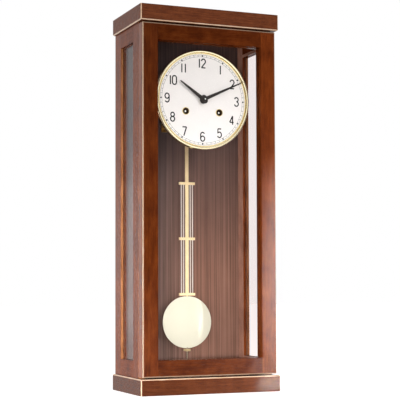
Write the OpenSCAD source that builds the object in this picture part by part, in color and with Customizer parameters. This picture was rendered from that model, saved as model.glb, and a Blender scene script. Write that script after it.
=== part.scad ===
// Pendulum wall clock with a glazed wooden case and a key-wound striking movement.
// Millimetres. X runs to the right, Y into the wall, Z up. The model is written from the
// underside of the base upwards and then shifted so that the hanging hole is the origin.

/* [Case] */
// Width across the crown and the base
case_w = 222; // [210:1:300]
// Depth of the crown and the base, from the wall to the front
case_d = 130; // [130:1:180]
// Height over all
case_h = 570; // [550:1:800]
// Height of the crown slab and of the base slab
slab_h = 24; // [14:1:36]
// How far the crown and the base stand proud of the body
slab_reach = 4; // [3:0.5:8]
// Thickness of the back board
back_t = 8; // [7:0.5:12]
// Width of the light edging strips
edging_w = 2.4; // [1.8:0.1:3.5]
// Bevel along the outer corner of the edging
edging_bevel = 1.6; // [0.5:0.1:1.7]

/* [Side frames] */
// Thickness of a side frame
side_t = 10; // [9:0.5:12]
// Width of the front stile of a side frame
side_front_w = 24; // [16:0.5:32]
// Width of the back stile of a side frame
side_back_w = 27; // [18:0.5:34]
// Width of the top and bottom rails of a side frame
side_rail_w = 24.5; // [16:0.5:40]
// Wood left outside a side pane
side_lip = 4; // [3:0.5:5]
// Thickness of a side pane
side_pane_t = 2; // [1.5:0.5:3]
// Width of the rebate that holds a pane
rebate_w = 5; // [4:0.5:8]
// Play around a pane in its rebate
pane_play = 0.5; // [0.2:0.1:1]

/* [Door] */
// Thickness of the door
door_t = 18; // [14:0.5:20]
// Width of a door stile
door_stile_w = 24; // [18:0.5:32]
// Width of the top rail of the door
door_top_w = 25; // [18:0.5:40]
// Width of the bottom rail of the door
door_bottom_w = 24.5; // [18:0.5:40]
// Gap between the door and the slabs above and below it
door_gap = 2; // [1:0.5:3]
// Gap between the closed door and the side frames
door_seat = 0.5; // [0.4:0.1:0.8]
// Wood left in front of the door pane
door_lip = 7; // [4:0.5:9]
// Thickness of the door pane
door_pane_t = 3; // [2:0.5:4]

/* [Hinges and catch] */
// Height of a hinge
hinge_h = 40; // [30:1:60]
// Distance from an end of the door to the middle of a hinge
hinge_inset = 60; // [40:1:120]
// Outer radius of a hinge knuckle
knuckle_r = 2; // [1.8:0.1:2.6]
// Radius of a hinge pin
hinge_pin_r = 1; // [0.8:0.05:1.2]
// Thickness of a hinge leaf
leaf_t = 1; // [0.8:0.1:1.5]
// Gap between the body and the axis of the hinges
hinge_offset = 1.2; // [1:0.1:1.6]
// Height of the door magnet
magnet_h = 30; // [20:1:50]
// Depth of the door magnet
magnet_d = 16; // [10:1:24]
// Width of the door magnet
magnet_w = 8; // [6:1:12]
// Gap between the magnet and its strike plate
magnet_gap = 0.3; // [0.3:0.1:0.8]

/* [Hanging] */
// Distance from the crown down to the hanging hole
hang_drop = 46; // [30:1:70]
// Radius of the round part of the keyhole
keyhole_r = 4.5; // [4:0.1:6]
// Width of the slot of the keyhole
keyhole_slot_w = 5; // [4:0.1:6]
// Thickness of the keyhole plate
keyhole_t = 1.5; // [1:0.1:2.5]

/* [Dial and hands] */
// Distance from the crown down to the centre of the dial
dial_drop = 107.2; // [95:0.1:140]
// Outer radius of the bezel
bezel_r = 75.5; // [70:0.5:90]
// Width of the bezel's face
bezel_w = 6; // [4:0.5:9]
// Depth of the bezel's skirt behind the dial face
bezel_skirt = 4.5; // [3:0.5:6]
// Distance from the door pane back to the face of the dial
dial_setback = 21; // [18:0.5:22]
// Thickness of the dial plate
dial_t = 1; // [0.6:0.1:1.5]
// Length of the minute hand
minute_len = 67.3; // [50:0.1:69]
// Length of the hour hand
hour_len = 46.1; // [30:0.1:55]
// Thickness of a hand
hand_t = 0.6; // [0.4:0.1:1]
// Width of the minute hand at its boss
minute_root_w = 4; // [3:0.1:6]
// Width of the hour hand at its boss
hour_root_w = 5.4; // [4:0.1:8]
// Angle of the hour hand, clockwise from twelve
hour_angle = 305.425; // [0:0.5:359.5]

/* [Movement] */
// Width of the movement plates
plate_w = 100; // [100:1:110]
// Height of the movement plates
plate_h = 92; // [92:1:100]
// Thickness of a movement plate
plate_t = 2; // [1.5:0.1:2.5]
// Distance between the movement plates
plate_gap = 32; // [32:0.5:34]
// Distance from the dial face back to the front plate
dial_stand = 9; // [9:0.5:11]
// Distance between the winding arbors
winding_span = 54.4; // [53:0.1:56]
// Distance from the centre down to the winding arbors
winding_drop = 18.2; // [17.5:0.1:19]
// Radius of a winding arbor
winding_r = 3; // [2.5:0.1:3.2]
// Radius of a mainspring barrel
barrel_r = 19; // [17:0.5:19]
// Running clearance of a pivot in its hole
pivot_play = 0.05; // [0.02:0.01:0.1]
// Radius of the bell
bell_r = 19; // [16:0.5:19]
// Depth of the bell
bell_d = 14; // [10:0.5:14]

/* [Pendulum] */
// Distance from the base up to the bottom of the bob
bob_clear = 38.4; // [20:0.1:60]
// Distance from the back plate to the plane of the pendulum
pendulum_gap = 20.4; // [19:0.1:22]
// Distance from the centre of the dial up to the pivot
pivot_rise = 36; // [35.5:0.1:36.5]
// Radius of the bob
bob_r = 40; // [30:0.5:42]
// Depth of the bob's front dome
bob_front = 6.5; // [4:0.5:9]
// Depth of the bob's back dome
bob_back = 4; // [3:0.5:8]
// Thickness of the bob's rim
bob_rim = 1.2; // [1:0.1:3]
// Width of the flat rod
rod_w = 5.3; // [4:0.1:6]
// Thickness of the flat rod
rod_t = 1.6; // [1:0.1:2.2]
// Width of a crossbar
crossbar_w = 25.5; // [22:0.5:32]
// Height of a crossbar
crossbar_h = 4; // [3:0.5:6]
// Depth of a crossbar
crossbar_d = 4; // [3:0.5:6]
// Distance between neighbouring crossbars
crossbar_pitch = 86; // [60:0.5:90]
// Gap between the lowest crossbar and the bob
crossbar_gap = 0.9; // [0.8:0.1:2]
// Radius of a round steel rod
steel_rod_r = 0.85; // [0.6:0.05:1.2]
// Distance from the middle to an inner steel rod
steel_inner_x = 5.6; // [4.5:0.1:6]
// Distance from the middle to an outer steel rod
steel_outer_x = 9.3; // [8:0.1:10]
// Radius of the threaded rod
thread_r = 1.25; // [1:0.05:1.6]
// Length of the threaded rod below the bob
thread_len = 16; // [14:0.5:24]
// Radius of the rating nut
nut_r = 5.6; // [4:0.1:8]
// Height of the rating nut
nut_h = 3.7; // [3:0.1:6]

/* [Hidden] */
$fn = 72;

// Case
body_w = case_w - 2 * slab_reach;
body_bottom = slab_h;
body_top = case_h - slab_h;
inner_x = body_w / 2 - side_t;
door_front = case_d - slab_reach;
door_back = door_front - door_t;
side_front = door_back - door_seat;
door_bottom = body_bottom + door_gap;
door_top = body_top - door_gap;
hang_z = body_top - hang_drop;
keyhole_rise = 8;
keyhole_plate_w = 60;
keyhole_plate_h = 30;
keyhole_pocket = 4.5;
hanger_screw_in = 8;
sight_bottom = door_bottom + door_bottom_w;
sight_top = door_top - door_top_w;
sight_x = body_w / 2 - door_stile_w;
pane_front = door_front - door_lip;
pane_back = pane_front - door_pane_t;

// Hinges
hinge_x = body_w / 2 + hinge_offset;
hinge_y = door_back - door_seat / 2;
leaf_w = side_t + hinge_offset - 1;
knuckle_gap = 0.3;
knuckle_clear = 0.5;
hinge_play = 0.05;
hinge_z = [door_bottom + hinge_inset, door_top - hinge_inset];
magnet_z = (door_bottom + door_top) / 2;
strike_t = 0.8;
strike_margin = 1;

// Screws
screw_r = 1.6;
screw_head_r = 3.2;
screw_head_h = 1.8;
screw_bite = 5;
driver_slot = 0.8;

// Movement, measured from the centre of the dial
dial_z = body_top - dial_drop;
dial_y = pane_back - dial_setback;
plate_front = dial_y - dial_stand;
plate_inner = plate_front - plate_t;
back_inner = plate_inner - plate_gap;
plate_back = back_inner - plate_t;
pillar_r = 3;
pillar_neck_r = 1.6;
pillar_inset = [5, 7];
pillar_nut_r = 3.4;
pillar_nut_h = 2.4;
bracket_t = 1.5;
bracket_x = 34;
bracket_low = -33;
bracket_h = 24;
bracket_foot = 13;
bracket_tab = 13;
bracket_screw_in = 6;

// Teeth: how far they stand out and reach in, in modules, and their widths in pitches
wheel_add = 0.9;
wheel_ded = 1.1;
wheel_root = 0.42;
wheel_tip = 0.12;
leaf_add = 0.5;
leaf_ded = 1.3;
leaf_root = 0.32;
leaf_tip = 0.2;

// Time train: teeth and modules
great_n = 72;
great_m = 0.6;
second_pinion_n = 12;
second_n = 60;
second_m = 0.5;
centre_pinion_n = 10;
centre_n = 80;
centre_m = 0.38;
third_pinion_n = 8;
third_n = 75;
third_m = 0.35;
escape_pinion_n = 8;
escape_n = 32;
escape_r = 10.5;
escape_rise = 20.4;
cannon_n = 12;
minute_n = 36;
cannon_m = 0.5;
minute_pinion_n = 10;
hour_n = 40;
hour_m = (cannon_n + minute_n) * cannon_m / (minute_pinion_n + hour_n);

// Strike train: teeth and modules
strike_second_n = 60;
strike_second_m = 0.45;
pin_pinion_n = 8;
pin_n = 48;
pin_m = 0.4;
fly_pinion_n = 8;
pin_count = 8;
pin_r = 0.45;
pin_len = 2.4;

rim_modules = 3.4;
arm_modules = 3.6;
pin_circle_r = (pin_n / 2 - (rim_modules + wheel_ded) / 2) * pin_m;

function span(n1, n2, m) = (n1 + n2) * m / 2;
function polar(r, a) = [r * cos(a), r * sin(a)];
function heading(a, b) = atan2(b[1] - a[1], b[0] - a[0]);
function frac(x) = x - floor(x);
// The point at distance ra from a and rb from b, to the left of the way from a to b
function meeting(a, ra, b, rb) =
    let (d = norm(b - a), along = (d * d + ra * ra - rb * rb) / (2 * d))
    a + along * (b - a) / d + sqrt(ra * ra - along * along) * [a[1] - b[1], b[0] - a[0]] / d;
// The turn of gear b that puts it in mesh with gear a
function mesh_turn(a, turn_a, na, b, nb) =
    heading(a, b) + 180 - (0.5 - frac((heading(a, b) - turn_a) * na / 360)) * 360 / nb;

centre = [0, 0];
time_pos = [winding_span / 2, -winding_drop];
strike_pos = [-winding_span / 2, -winding_drop];
second_arbor = meeting(centre, span(second_n, centre_pinion_n, second_m), time_pos,
    span(great_n, second_pinion_n, great_m));
escape_pos = [0, escape_rise];
third_pos = meeting(centre, span(centre_n, third_pinion_n, centre_m), escape_pos,
    span(third_n, escape_pinion_n, third_m));
anchor_pos = [0, pivot_rise];
minute_pos = polar(span(cannon_n, minute_n, cannon_m), 60);
strike_second_pos = strike_pos + polar(span(great_n, second_pinion_n, great_m), 110.5);
pin_pos = strike_second_pos + polar(span(strike_second_n, pin_pinion_n, strike_second_m), 54);
fly_pos = pin_pos + polar(span(pin_n, fly_pinion_n, pin_m), 122);
hammer_pos = [-10, 40];
bell_pos = [-29, 21.5];

second_turn = mesh_turn(time_pos, 0, great_n, second_arbor, second_pinion_n);
centre_turn = mesh_turn(second_arbor, 0, second_n, centre, centre_pinion_n);
third_turn = mesh_turn(centre, 0, centre_n, third_pos, third_pinion_n);
escape_turn = mesh_turn(third_pos, 0, third_n, escape_pos, escape_pinion_n);
minute_turn = mesh_turn(centre, 0, cannon_n, minute_pos, minute_n);
hour_turn = mesh_turn(minute_pos, 0, minute_pinion_n, centre, hour_n);
strike_second_turn = mesh_turn(strike_pos, 0, great_n, strike_second_pos, second_pinion_n);
pin_turn = mesh_turn(strike_second_pos, 0, strike_second_n, pin_pos, pin_pinion_n);
fly_turn = mesh_turn(pin_pos, 0, pin_n, fly_pos, fly_pinion_n);

// Arbors and their pivots
arbor_r = 1;
fine_arbor_r = 0.8;
centre_arbor_r = 1.2;
centre_body_r = 1.6;
cannon_r = 2;
hour_pipe_r = 3.2;
shoulder_gap = 0.4;
wheel_t = 1.4;
hub_r = 3;
fine_hub_r = 2.4;
centre_hub_r = 3.4;
hour_hub_r = 4.4;
post_r = 1;
post_len = 6.8;

// Pendulum
pivot_z = dial_z + pivot_rise;
pendulum_y = plate_back - pendulum_gap;
bob_z = body_bottom + bob_clear + bob_r;
crossbar_low = bob_z + bob_r + crossbar_gap + crossbar_h / 2;
crutch_gap = 3.5;
crutch_y = plate_back - crutch_gap;

// Moves the model so that the hanging hole is the origin
module in_frame() translate([0, 0, -hang_z]) children();

// An outline drawn in X and Z, given depth towards the wall from its front plane
module upright(front, depth) {
    translate([0, depth - front, 0]) rotate([90, 0, 0]) linear_extrude(depth) children();
}

// The same, placed at a point of the movement
module at_movement(p, front, depth) {
    translate([p[0], 0, dial_z + p[1]]) upright(front, depth) children();
}

module round_bar(p, front, depth, r) at_movement(p, front, depth) circle(r);

// A box between two X limits, two distances from the wall and two Z limits
module box(x0, x1, front, back, z0, z1) {
    translate([x0, -front, z0]) cube([x1 - x0, front - back, z1 - z0]);
}

// --- Case -----------------------------------------------------------------------------

// Square bar along X that cuts the bevel where it is centred on an edge
module bevel_bar(length) {
    side = edging_bevel * sqrt(2);
    rotate([45, 0, 0]) cube([length, side, side], center = true);
}

// Crown slab standing on z = 0 with bevels on its lower edges and front corners
module bevelled_slab() {
    difference() {
        box(-case_w / 2, case_w / 2, case_d, 0, 0, slab_h);
        translate([0, -case_d, 0]) bevel_bar(case_w + 2);
        for (side = [-1, 1]) {
            translate([side * case_w / 2, -case_d / 2, 0]) rotate([0, 0, 90]) bevel_bar(case_d + 2);
            translate([side * case_w / 2, -case_d, slab_h / 2]) rotate([0, 90, 0]) bevel_bar(2 * slab_h);
        }
    }
}

module slab_edging_zone() {
    box(-case_w / 2, case_w / 2, case_d, case_d - edging_w, 0, edging_w);
    for (side = [0, 1]) mirror([side, 0, 0]) {
        box(case_w / 2 - edging_w, case_w / 2, case_d, 0, 0, edging_w);
        box(case_w / 2 - edging_w, case_w / 2, case_d, case_d - edging_w, 0, slab_h);
    }
}

module slab_wood() difference() {
    bevelled_slab();
    slab_edging_zone();
}

module slab_edging() intersection() {
    bevelled_slab();
    slab_edging_zone();
}

module as_crown() in_frame() translate([0, 0, body_top]) children();

module as_base() in_frame() translate([0, 0, body_bottom]) mirror([0, 0, 1]) children();

module crown() color("saddlebrown") as_crown() slab_wood();

module base() color("saddlebrown") as_base() slab_wood();

module case_edging() color("burlywood") {
    as_crown() slab_edging();
    as_base() slab_edging();
}

// The space that the pane and its beads take in a side frame, on the right
module side_pocket() {
    box(inner_x, body_w / 2 - side_lip, side_front - side_front_w + rebate_w, side_back_w - rebate_w,
        body_bottom + side_rail_w - rebate_w, body_top - side_rail_w + rebate_w);
}

module side_stiles() {
    difference() {
        union() {
            box(inner_x, body_w / 2, side_front, side_front - side_front_w, body_bottom, body_top);
            box(inner_x, body_w / 2, side_back_w, 0, body_bottom, body_top);
        }
        side_pocket();
    }
}

module side_rails() {
    difference() {
        for (z = [body_bottom, body_top - side_rail_w])
            box(inner_x, body_w / 2, side_front - side_front_w, side_back_w, z, z + side_rail_w);
        side_pocket();
    }
}

module left_stiles() color("sienna") in_frame() mirror([1, 0, 0]) side_stiles();

module left_rails() color("sienna") in_frame() mirror([1, 0, 0]) side_rails();

module right_stiles() color("sienna") in_frame() difference() {
    side_stiles();
    hinge_mortises(side_front, side_front - leaf_t);
}

module right_rails() color("sienna") in_frame() side_rails();

side_sight_front = side_front - side_front_w;
side_sight_bottom = body_bottom + side_rail_w;
side_sight_top = body_top - side_rail_w;
side_pane_out = body_w / 2 - side_lip;

module side_panes() color("lightcyan", 0.3) in_frame() for (side = [0, 1]) mirror([side, 0, 0]) {
    edge = rebate_w - pane_play;
    box(side_pane_out - side_pane_t, side_pane_out, side_sight_front + edge, side_back_w - edge,
        side_sight_bottom - edge, side_sight_top + edge);
}

module side_beads() color("peru") in_frame() for (side = [0, 1]) mirror([side, 0, 0]) {
    out = side_pane_out - side_pane_t;
    for (y = [side_sight_front + rebate_w, side_back_w])
        box(inner_x, out, y, y - rebate_w, side_sight_bottom - rebate_w, side_sight_top + rebate_w);
    for (z = [side_sight_bottom - rebate_w, side_sight_top])
        box(inner_x, out, side_sight_front, side_back_w, z, z + rebate_w);
}

// Places and lengths of the screws that hold the movement brackets
bracket_screws = [for (side = [-1, 1], w = [bracket_screw_in, bracket_h - bracket_screw_in])
    [side * (bracket_x + bracket_t - bracket_foot / 2), bracket_low + w]];
tab_screws = [for (side = [-1, 1], w = [bracket_screw_in, bracket_h - bracket_screw_in])
    [side * (bracket_x + bracket_t + bracket_tab / 2), bracket_low + w]];
hanger_screw_x = keyhole_plate_w / 2 - hanger_screw_in;

module keyhole_outline() {
    circle(keyhole_r);
    translate([-keyhole_slot_w / 2, 0]) square([keyhole_slot_w, keyhole_rise]);
    translate([0, keyhole_rise]) circle(keyhole_slot_w / 2);
}

module back_board() color("sienna") in_frame() {
    difference() {
        box(-inner_x, inner_x, back_t, 0, body_bottom, body_top);
        box(-keyhole_plate_w / 2, keyhole_plate_w / 2, keyhole_t, -1,
            hang_z - keyhole_plate_h / 3, hang_z + 2 * keyhole_plate_h / 3);
        box(-1.5 * keyhole_r, 1.5 * keyhole_r, keyhole_pocket + keyhole_t, 0,
            hang_z - 1.5 * keyhole_r, hang_z + keyhole_rise + 1.5 * keyhole_r);
        for (side = [-1, 1]) translate([side * hanger_screw_x, 0, hang_z])
            upright(keyhole_t + screw_bite, screw_bite + 1) circle(screw_r);
        for (p = bracket_screws) round_bar(p, back_t + 1, screw_bite + 1, screw_r);
    }
}

module hanger_plate() color("silver") in_frame() translate([0, 0, hang_z]) difference() {
    upright(keyhole_t, keyhole_t) difference() {
        translate([-keyhole_plate_w / 2, -keyhole_plate_h / 3])
            square([keyhole_plate_w, keyhole_plate_h]);
        keyhole_outline();
    }
    for (side = [-1, 1]) translate([side * hanger_screw_x, 0, 0]) flat_head(0);
}

// Cone of a countersunk head, flush with the wall side
module flat_head(back) {
    translate([0, -back, 0]) rotate([90, 0, 0]) cylinder(keyhole_t, r1 = screw_head_r, r2 = screw_r);
}

module driver_cut() square([2 * screw_head_r + 1, driver_slot], center = true);

// A screw whose head stands in front of its seat
module pan_screw(seat, length) {
    difference() {
        upright(seat + screw_head_h, screw_head_h) circle(screw_head_r);
        upright(seat + screw_head_h + 1, 1 + screw_head_h / 2) driver_cut();
    }
    upright(seat, length) circle(screw_r);
}

module case_screws() color("gray") in_frame() {
    for (side = [-1, 1]) translate([side * hanger_screw_x, 0, hang_z]) difference() {
        union() {
            flat_head(0);
            upright(keyhole_t + screw_bite, screw_bite) circle(screw_r);
        }
        upright(driver_slot, driver_slot + 1) driver_cut();
    }
    for (p = bracket_screws) translate([p[0], 0, dial_z + p[1]])
        pan_screw(back_t + bracket_t, bracket_t + screw_bite);
    for (p = tab_screws) translate([p[0], bracket_t - plate_back, dial_z + p[1]])
        mirror([0, 1, 0]) pan_screw(0, bracket_t + plate_t);
}

module door_magnet() color("dimgray") in_frame() {
    face = door_back - strike_t - magnet_gap;
    box(-inner_x, magnet_w - inner_x, face, face - magnet_d,
        magnet_z - magnet_h / 2, magnet_z + magnet_h / 2);
}

// Room for the hinge leaves and knuckles, between two planes in front of the wall
module hinge_mortises(front, back) {
    for (z = hinge_z) {
        box(hinge_x - leaf_w, body_w / 2 + 1, front, back, z - hinge_h / 2, z + hinge_h / 2);
        translate([hinge_x, -hinge_y, z])
            cylinder(hinge_h + 4 * hinge_pin_r, r = knuckle_r + knuckle_clear, center = true);
    }
}

// One leaf with the knuckles that its list gives, as [start, length] in thirds of the hinge
module hinge_leaf(front, back, knuckles) {
    third = hinge_h / 3;
    for (z = hinge_z) translate([0, 0, z - hinge_h / 2]) difference() {
        union() {
            box(hinge_x - leaf_w, hinge_x - knuckle_r - knuckle_clear - knuckle_gap, front, back, 0, hinge_h);
            for (k = knuckles) {
                box(hinge_x - leaf_w, hinge_x, front, back,
                    k * third + knuckle_gap, (k + 1) * third - knuckle_gap);
                translate([hinge_x, -hinge_y, k * third + knuckle_gap])
                    cylinder(third - 2 * knuckle_gap, r = knuckle_r);
            }
        }
        translate([hinge_x, -hinge_y, -1]) cylinder(hinge_h + 2, r = hinge_pin_r + hinge_play);
    }
}

module case_hinge_leaves() color("gold") in_frame() hinge_leaf(side_front, side_front - leaf_t, [0, 2]);

// --- Door -----------------------------------------------------------------------------

module bevelled_door() {
    difference() {
        box(-body_w / 2, body_w / 2, door_front, door_back, door_bottom, door_top);
        for (z = [door_bottom, door_top]) translate([0, -door_front, z]) bevel_bar(body_w + 2);
        for (side = [-1, 1]) translate([side * body_w / 2, -door_front, (door_bottom + door_top) / 2])
            rotate([0, 90, 0]) bevel_bar(case_h);
    }
}

module door_edging_zone() {
    for (z = [door_bottom, door_top - edging_w])
        box(-body_w / 2, body_w / 2, door_front, door_front - edging_w, z, z + edging_w);
    for (x = [-body_w / 2, body_w / 2 - edging_w])
        box(x, x + edging_w, door_front, door_front - edging_w, door_bottom, door_top);
}

// Cuts one member of the door frame, given by its limits in X and Z, out of the bevelled door
module door_member(x0, x1, z0, z1) color("sienna") in_frame() difference() {
    intersection() {
        bevelled_door();
        box(x0, x1, door_front + 1, door_back - 1, z0, z1);
    }
    door_edging_zone();
    box(-sight_x - rebate_w, sight_x + rebate_w, pane_front, door_back - 1,
        sight_bottom - rebate_w, sight_top + rebate_w);
    hinge_mortises(door_back + leaf_t, door_back);
}

module door_left_stile() door_member(-body_w / 2, -sight_x, door_bottom, door_top);

module door_right_stile() door_member(sight_x, body_w / 2, door_bottom, door_top);

module door_top_rail() door_member(-sight_x, sight_x, sight_top, door_top);

module door_bottom_rail() door_member(-sight_x, sight_x, door_bottom, sight_bottom);

module door_edging() color("burlywood") in_frame() intersection() {
    bevelled_door();
    door_edging_zone();
}

module door_pane() color("lightcyan", 0.3) in_frame() {
    edge = rebate_w - pane_play;
    box(-sight_x - edge, sight_x + edge, pane_front, pane_back, sight_bottom - edge, sight_top + edge);
}

module door_beads() color("peru") in_frame() {
    for (x = [-sight_x - rebate_w, sight_x])
        box(x, x + rebate_w, pane_back, door_back, sight_bottom - rebate_w, sight_top + rebate_w);
    for (z = [sight_bottom - rebate_w, sight_top])
        box(-sight_x, sight_x, pane_back, door_back, z, z + rebate_w);
}

module strike_plate() color("silver") in_frame() {
    box(strike_margin - inner_x, magnet_w - inner_x, door_back, door_back - strike_t,
        magnet_z - magnet_h / 2 + strike_margin, magnet_z + magnet_h / 2 - strike_margin);
}

module door_hinge_leaves() color("gold") in_frame() hinge_leaf(door_back + leaf_t, door_back, [1]);

module hinge_pins() color("gold") in_frame() for (z = hinge_z) {
    translate([hinge_x, -hinge_y, z - hinge_h / 2]) cylinder(hinge_h, r = hinge_pin_r);
    for (side = [0, 1]) translate([hinge_x, -hinge_y, z]) mirror([0, 0, side])
        translate([0, 0, hinge_h / 2]) cylinder(hinge_pin_r, r = knuckle_r);
}

// --- Movement frame and dial ------------------------------------------------------------

module bracket() difference() {
    low = dial_z + bracket_low;
    out = bracket_x + bracket_t;
    union() {
        box(out - bracket_foot, out, back_t + bracket_t, back_t, low, low + bracket_h);
        box(bracket_x, out, plate_back, back_t, low, low + bracket_h);
        box(bracket_x, out + bracket_tab, plate_back, plate_back - bracket_t, low, low + bracket_h);
    }
    for (p = bracket_screws) round_bar(p, back_t + bracket_t + 1, bracket_t + 2, screw_r);
    for (p = tab_screws) round_bar(p, plate_back + 1, bracket_t + 2, screw_r);
}

module movement_brackets() color("silver") in_frame() for (side = [0, 1]) mirror([side, 0, 0]) bracket();

pillar_places = [for (sx = [-1, 1], sz = [-1, 1])
    [sx * (plate_w / 2 - pillar_inset[0]), sz * (plate_h / 2 - pillar_inset[1])]];
dial_feet = [[-42, 8], [42, 8], [-14, -38], [14, -38]];
dial_foot_r = 1.8;
dial_foot_pin_r = 1;

// Every arbor that turns in both plates, with the radius of its pivots
pivots = [[centre, centre_arbor_r], [second_arbor, arbor_r], [third_pos, fine_arbor_r],
    [escape_pos, fine_arbor_r], [anchor_pos, arbor_r], [time_pos, winding_r],
    [strike_pos, winding_r], [strike_second_pos, arbor_r], [pin_pos, fine_arbor_r],
    [fly_pos, fine_arbor_r], [hammer_pos, arbor_r]];

module plate_outline() difference() {
    square([plate_w, plate_h], center = true);
    for (p = pivots) translate(p[0]) circle(p[1] + pivot_play);
    for (p = pillar_places) translate(p) circle(pillar_neck_r);
}

module front_plate() color("gold") in_frame() {
    at_movement(centre, plate_front, plate_t) difference() {
        plate_outline();
        for (p = dial_feet) translate(p) circle(dial_foot_pin_r);
    }
    round_bar(minute_pos, plate_front + post_len, post_len, post_r);
}

module back_plate() color("gold") in_frame() at_movement(centre, back_inner, plate_t) difference() {
    plate_outline();
    for (p = tab_screws) translate(p) circle(screw_r);
    translate(bell_pos) circle(screw_r);
}

module pillars() color("gold") in_frame() for (p = pillar_places) {
    round_bar(p, plate_inner, plate_gap, pillar_r);
    round_bar(p, plate_front + pillar_nut_h, plate_gap + 2 * plate_t + 2 * pillar_nut_h, pillar_neck_r);
}

module pillar_nuts() color("silver") in_frame() {
    for (p = pillar_places, front = [plate_front + pillar_nut_h, plate_back])
        at_movement(p, front, pillar_nut_h) difference() {
            circle(pillar_nut_r, $fn = 6);
            circle(pillar_neck_r);
        }
}

dial_hole_r = 4.4;
dial_bore_r = 4.5;
grommet_r = 5.25;
grommet_bore = 3.75;
grommet_flange = 0.8;
bezel_wall = 1;
bezel_inner = bezel_r - bezel_w;

module dial_plate() color("ivory") in_frame() {
    at_movement(centre, dial_y, dial_t) difference() {
        circle(bezel_r - bezel_wall);
        circle(dial_bore_r);
        for (p = [time_pos, strike_pos]) translate(p) circle(dial_hole_r);
    }
    for (p = dial_feet) {
        round_bar(p, dial_y - dial_t, dial_stand - dial_t, dial_foot_r);
        round_bar(p, plate_front, plate_t, dial_foot_pin_r);
    }
}

// Ring with a round face, in front of a thin skirt
module bezel_profile() {
    translate([bezel_inner, 0]) square([bezel_w, 1]);
    intersection() {
        translate([bezel_inner + bezel_w / 2, 1]) circle(bezel_w / 2);
        translate([bezel_inner, 0]) square(bezel_w);
    }
    translate([bezel_r - bezel_wall, -bezel_skirt]) square([bezel_wall, bezel_skirt + 1]);
}

module dial_bezel() color("gold") in_frame()
    translate([0, -dial_y, dial_z]) rotate([90, 0, 0]) rotate_extrude() bezel_profile();

module winding_grommets() color("gold") in_frame() for (p = [time_pos, strike_pos]) {
    at_movement(p, dial_y + grommet_flange, grommet_flange) difference() {
        circle(grommet_r);
        circle(grommet_bore);
    }
    at_movement(p, dial_y, dial_t + grommet_flange) difference() {
        circle(dial_hole_r);
        circle(grommet_bore);
    }
}

cock_w = 12;
cock_h = 8;
cock_rise = 2.6;
slit_w = 1.2;
slit_h = 3;
slit_play = 0.5;
spring_w = 5;
spring_t = 0.2;

module suspension_cock() color("gold") in_frame() difference() {
    low = pivot_z + cock_rise;
    back = pendulum_y - spring_w;
    box(-cock_w / 2, cock_w / 2, plate_back, back, low, low + cock_h);
    box(-slit_w / 2, slit_w / 2, pendulum_y + spring_w / 2 + slit_play, back - 1, low - 1, low + slit_h);
}

bell_wall = 1.2;
bell_stand = 3;
bell_mouth = plate_back - bell_stand;
bell_back = bell_mouth - bell_d;
bell_steps = 8;
bell_post_r = 2.6;
bell_nut_t = 2;

function bell_arc(r, d) =
    [for (i = [0:bell_steps]) let (a = 90 * i / bell_steps) [r * cos(a), d * sin(a)]];

module bell_profile() difference() {
    polygon(concat([[0, 0]], bell_arc(bell_r, bell_d)));
    polygon(concat([[0, -1], [bell_r - bell_wall, -1]], bell_arc(bell_r - bell_wall, bell_d - bell_wall)));
    translate([0, -1]) square([screw_r, bell_d + 2]);
}

// Cup gong with its mouth to the plate, and the post and nut that carry it
module bell() color("silver") in_frame() {
    translate([bell_pos[0], -bell_mouth, dial_z + bell_pos[1]])
        rotate([-90, 0, 0]) rotate_extrude() bell_profile();
    round_bar(bell_pos, back_inner, back_inner - bell_back + bell_nut_t, screw_r);
    at_movement(bell_pos, bell_back, bell_nut_t) difference() {
        circle(screw_head_r, $fn = 6);
        circle(screw_r);
    }
    at_movement(bell_pos, plate_back, plate_back - bell_back - bell_wall) difference() {
        circle(bell_post_r);
        circle(screw_r);
    }
}

// --- Wheels -----------------------------------------------------------------------------

// Outline with n tapering teeth: each has two points on its root and two on its tip
function teeth(n, m, add, ded, root, tip) =
    [for (i = [0:n - 1], c = [[-root, -ded], [-tip, add], [tip, add], [root, -ded]])
        polar((n / 2 + c[1]) * m, (i + c[0] / 2) * 360 / n)];

module wheel_teeth(n, m) polygon(teeth(n, m, wheel_add, wheel_ded, wheel_root, wheel_tip));

module pinion_leaves(n, m) polygon(teeth(n, m, leaf_add, leaf_ded, leaf_root, leaf_tip));

// Toothed rim joined to its hub by arms
module crossed_wheel(n, m, arms, hub_r) {
    rim_in = (n / 2 - rim_modules) * m;
    arm_w = arm_modules * m;
    difference() {
        wheel_teeth(n, m);
        difference() {
            circle(rim_in);
            circle(hub_r);
            for (i = [0:arms - 1]) rotate(i * 360 / arms)
                translate([0, -arm_w / 2]) square([n * m / 2, arm_w]);
        }
    }
}

// Plain arbor from the front of the front plate to the back of the back plate
module arbor(p, r) round_bar(p, plate_front, plate_gap + 2 * plate_t, r);

// Depths behind the inner face of the front plate
centre_wheel_d = 1.5;
great_d = 5;
third_wheel_d = 14;
pin_wheel_d = 20;
escape_d = 25;
second_wheel_d = 28;
great_t = 2;
drum_d = great_d + great_t;
drum_len = 17;
boss_t = 1;
pinion_extra = 1;

// A pinion as wide as the wheel that drives it and a little more on each side
module pinion(p, depth, thickness, n, m, turn) {
    at_movement(p, plate_inner - depth + pinion_extra, thickness + 2 * pinion_extra)
        rotate(turn) pinion_leaves(n, m);
}

module at_depth(p, depth, thickness) at_movement(p, plate_inner - depth, thickness) children();

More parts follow.
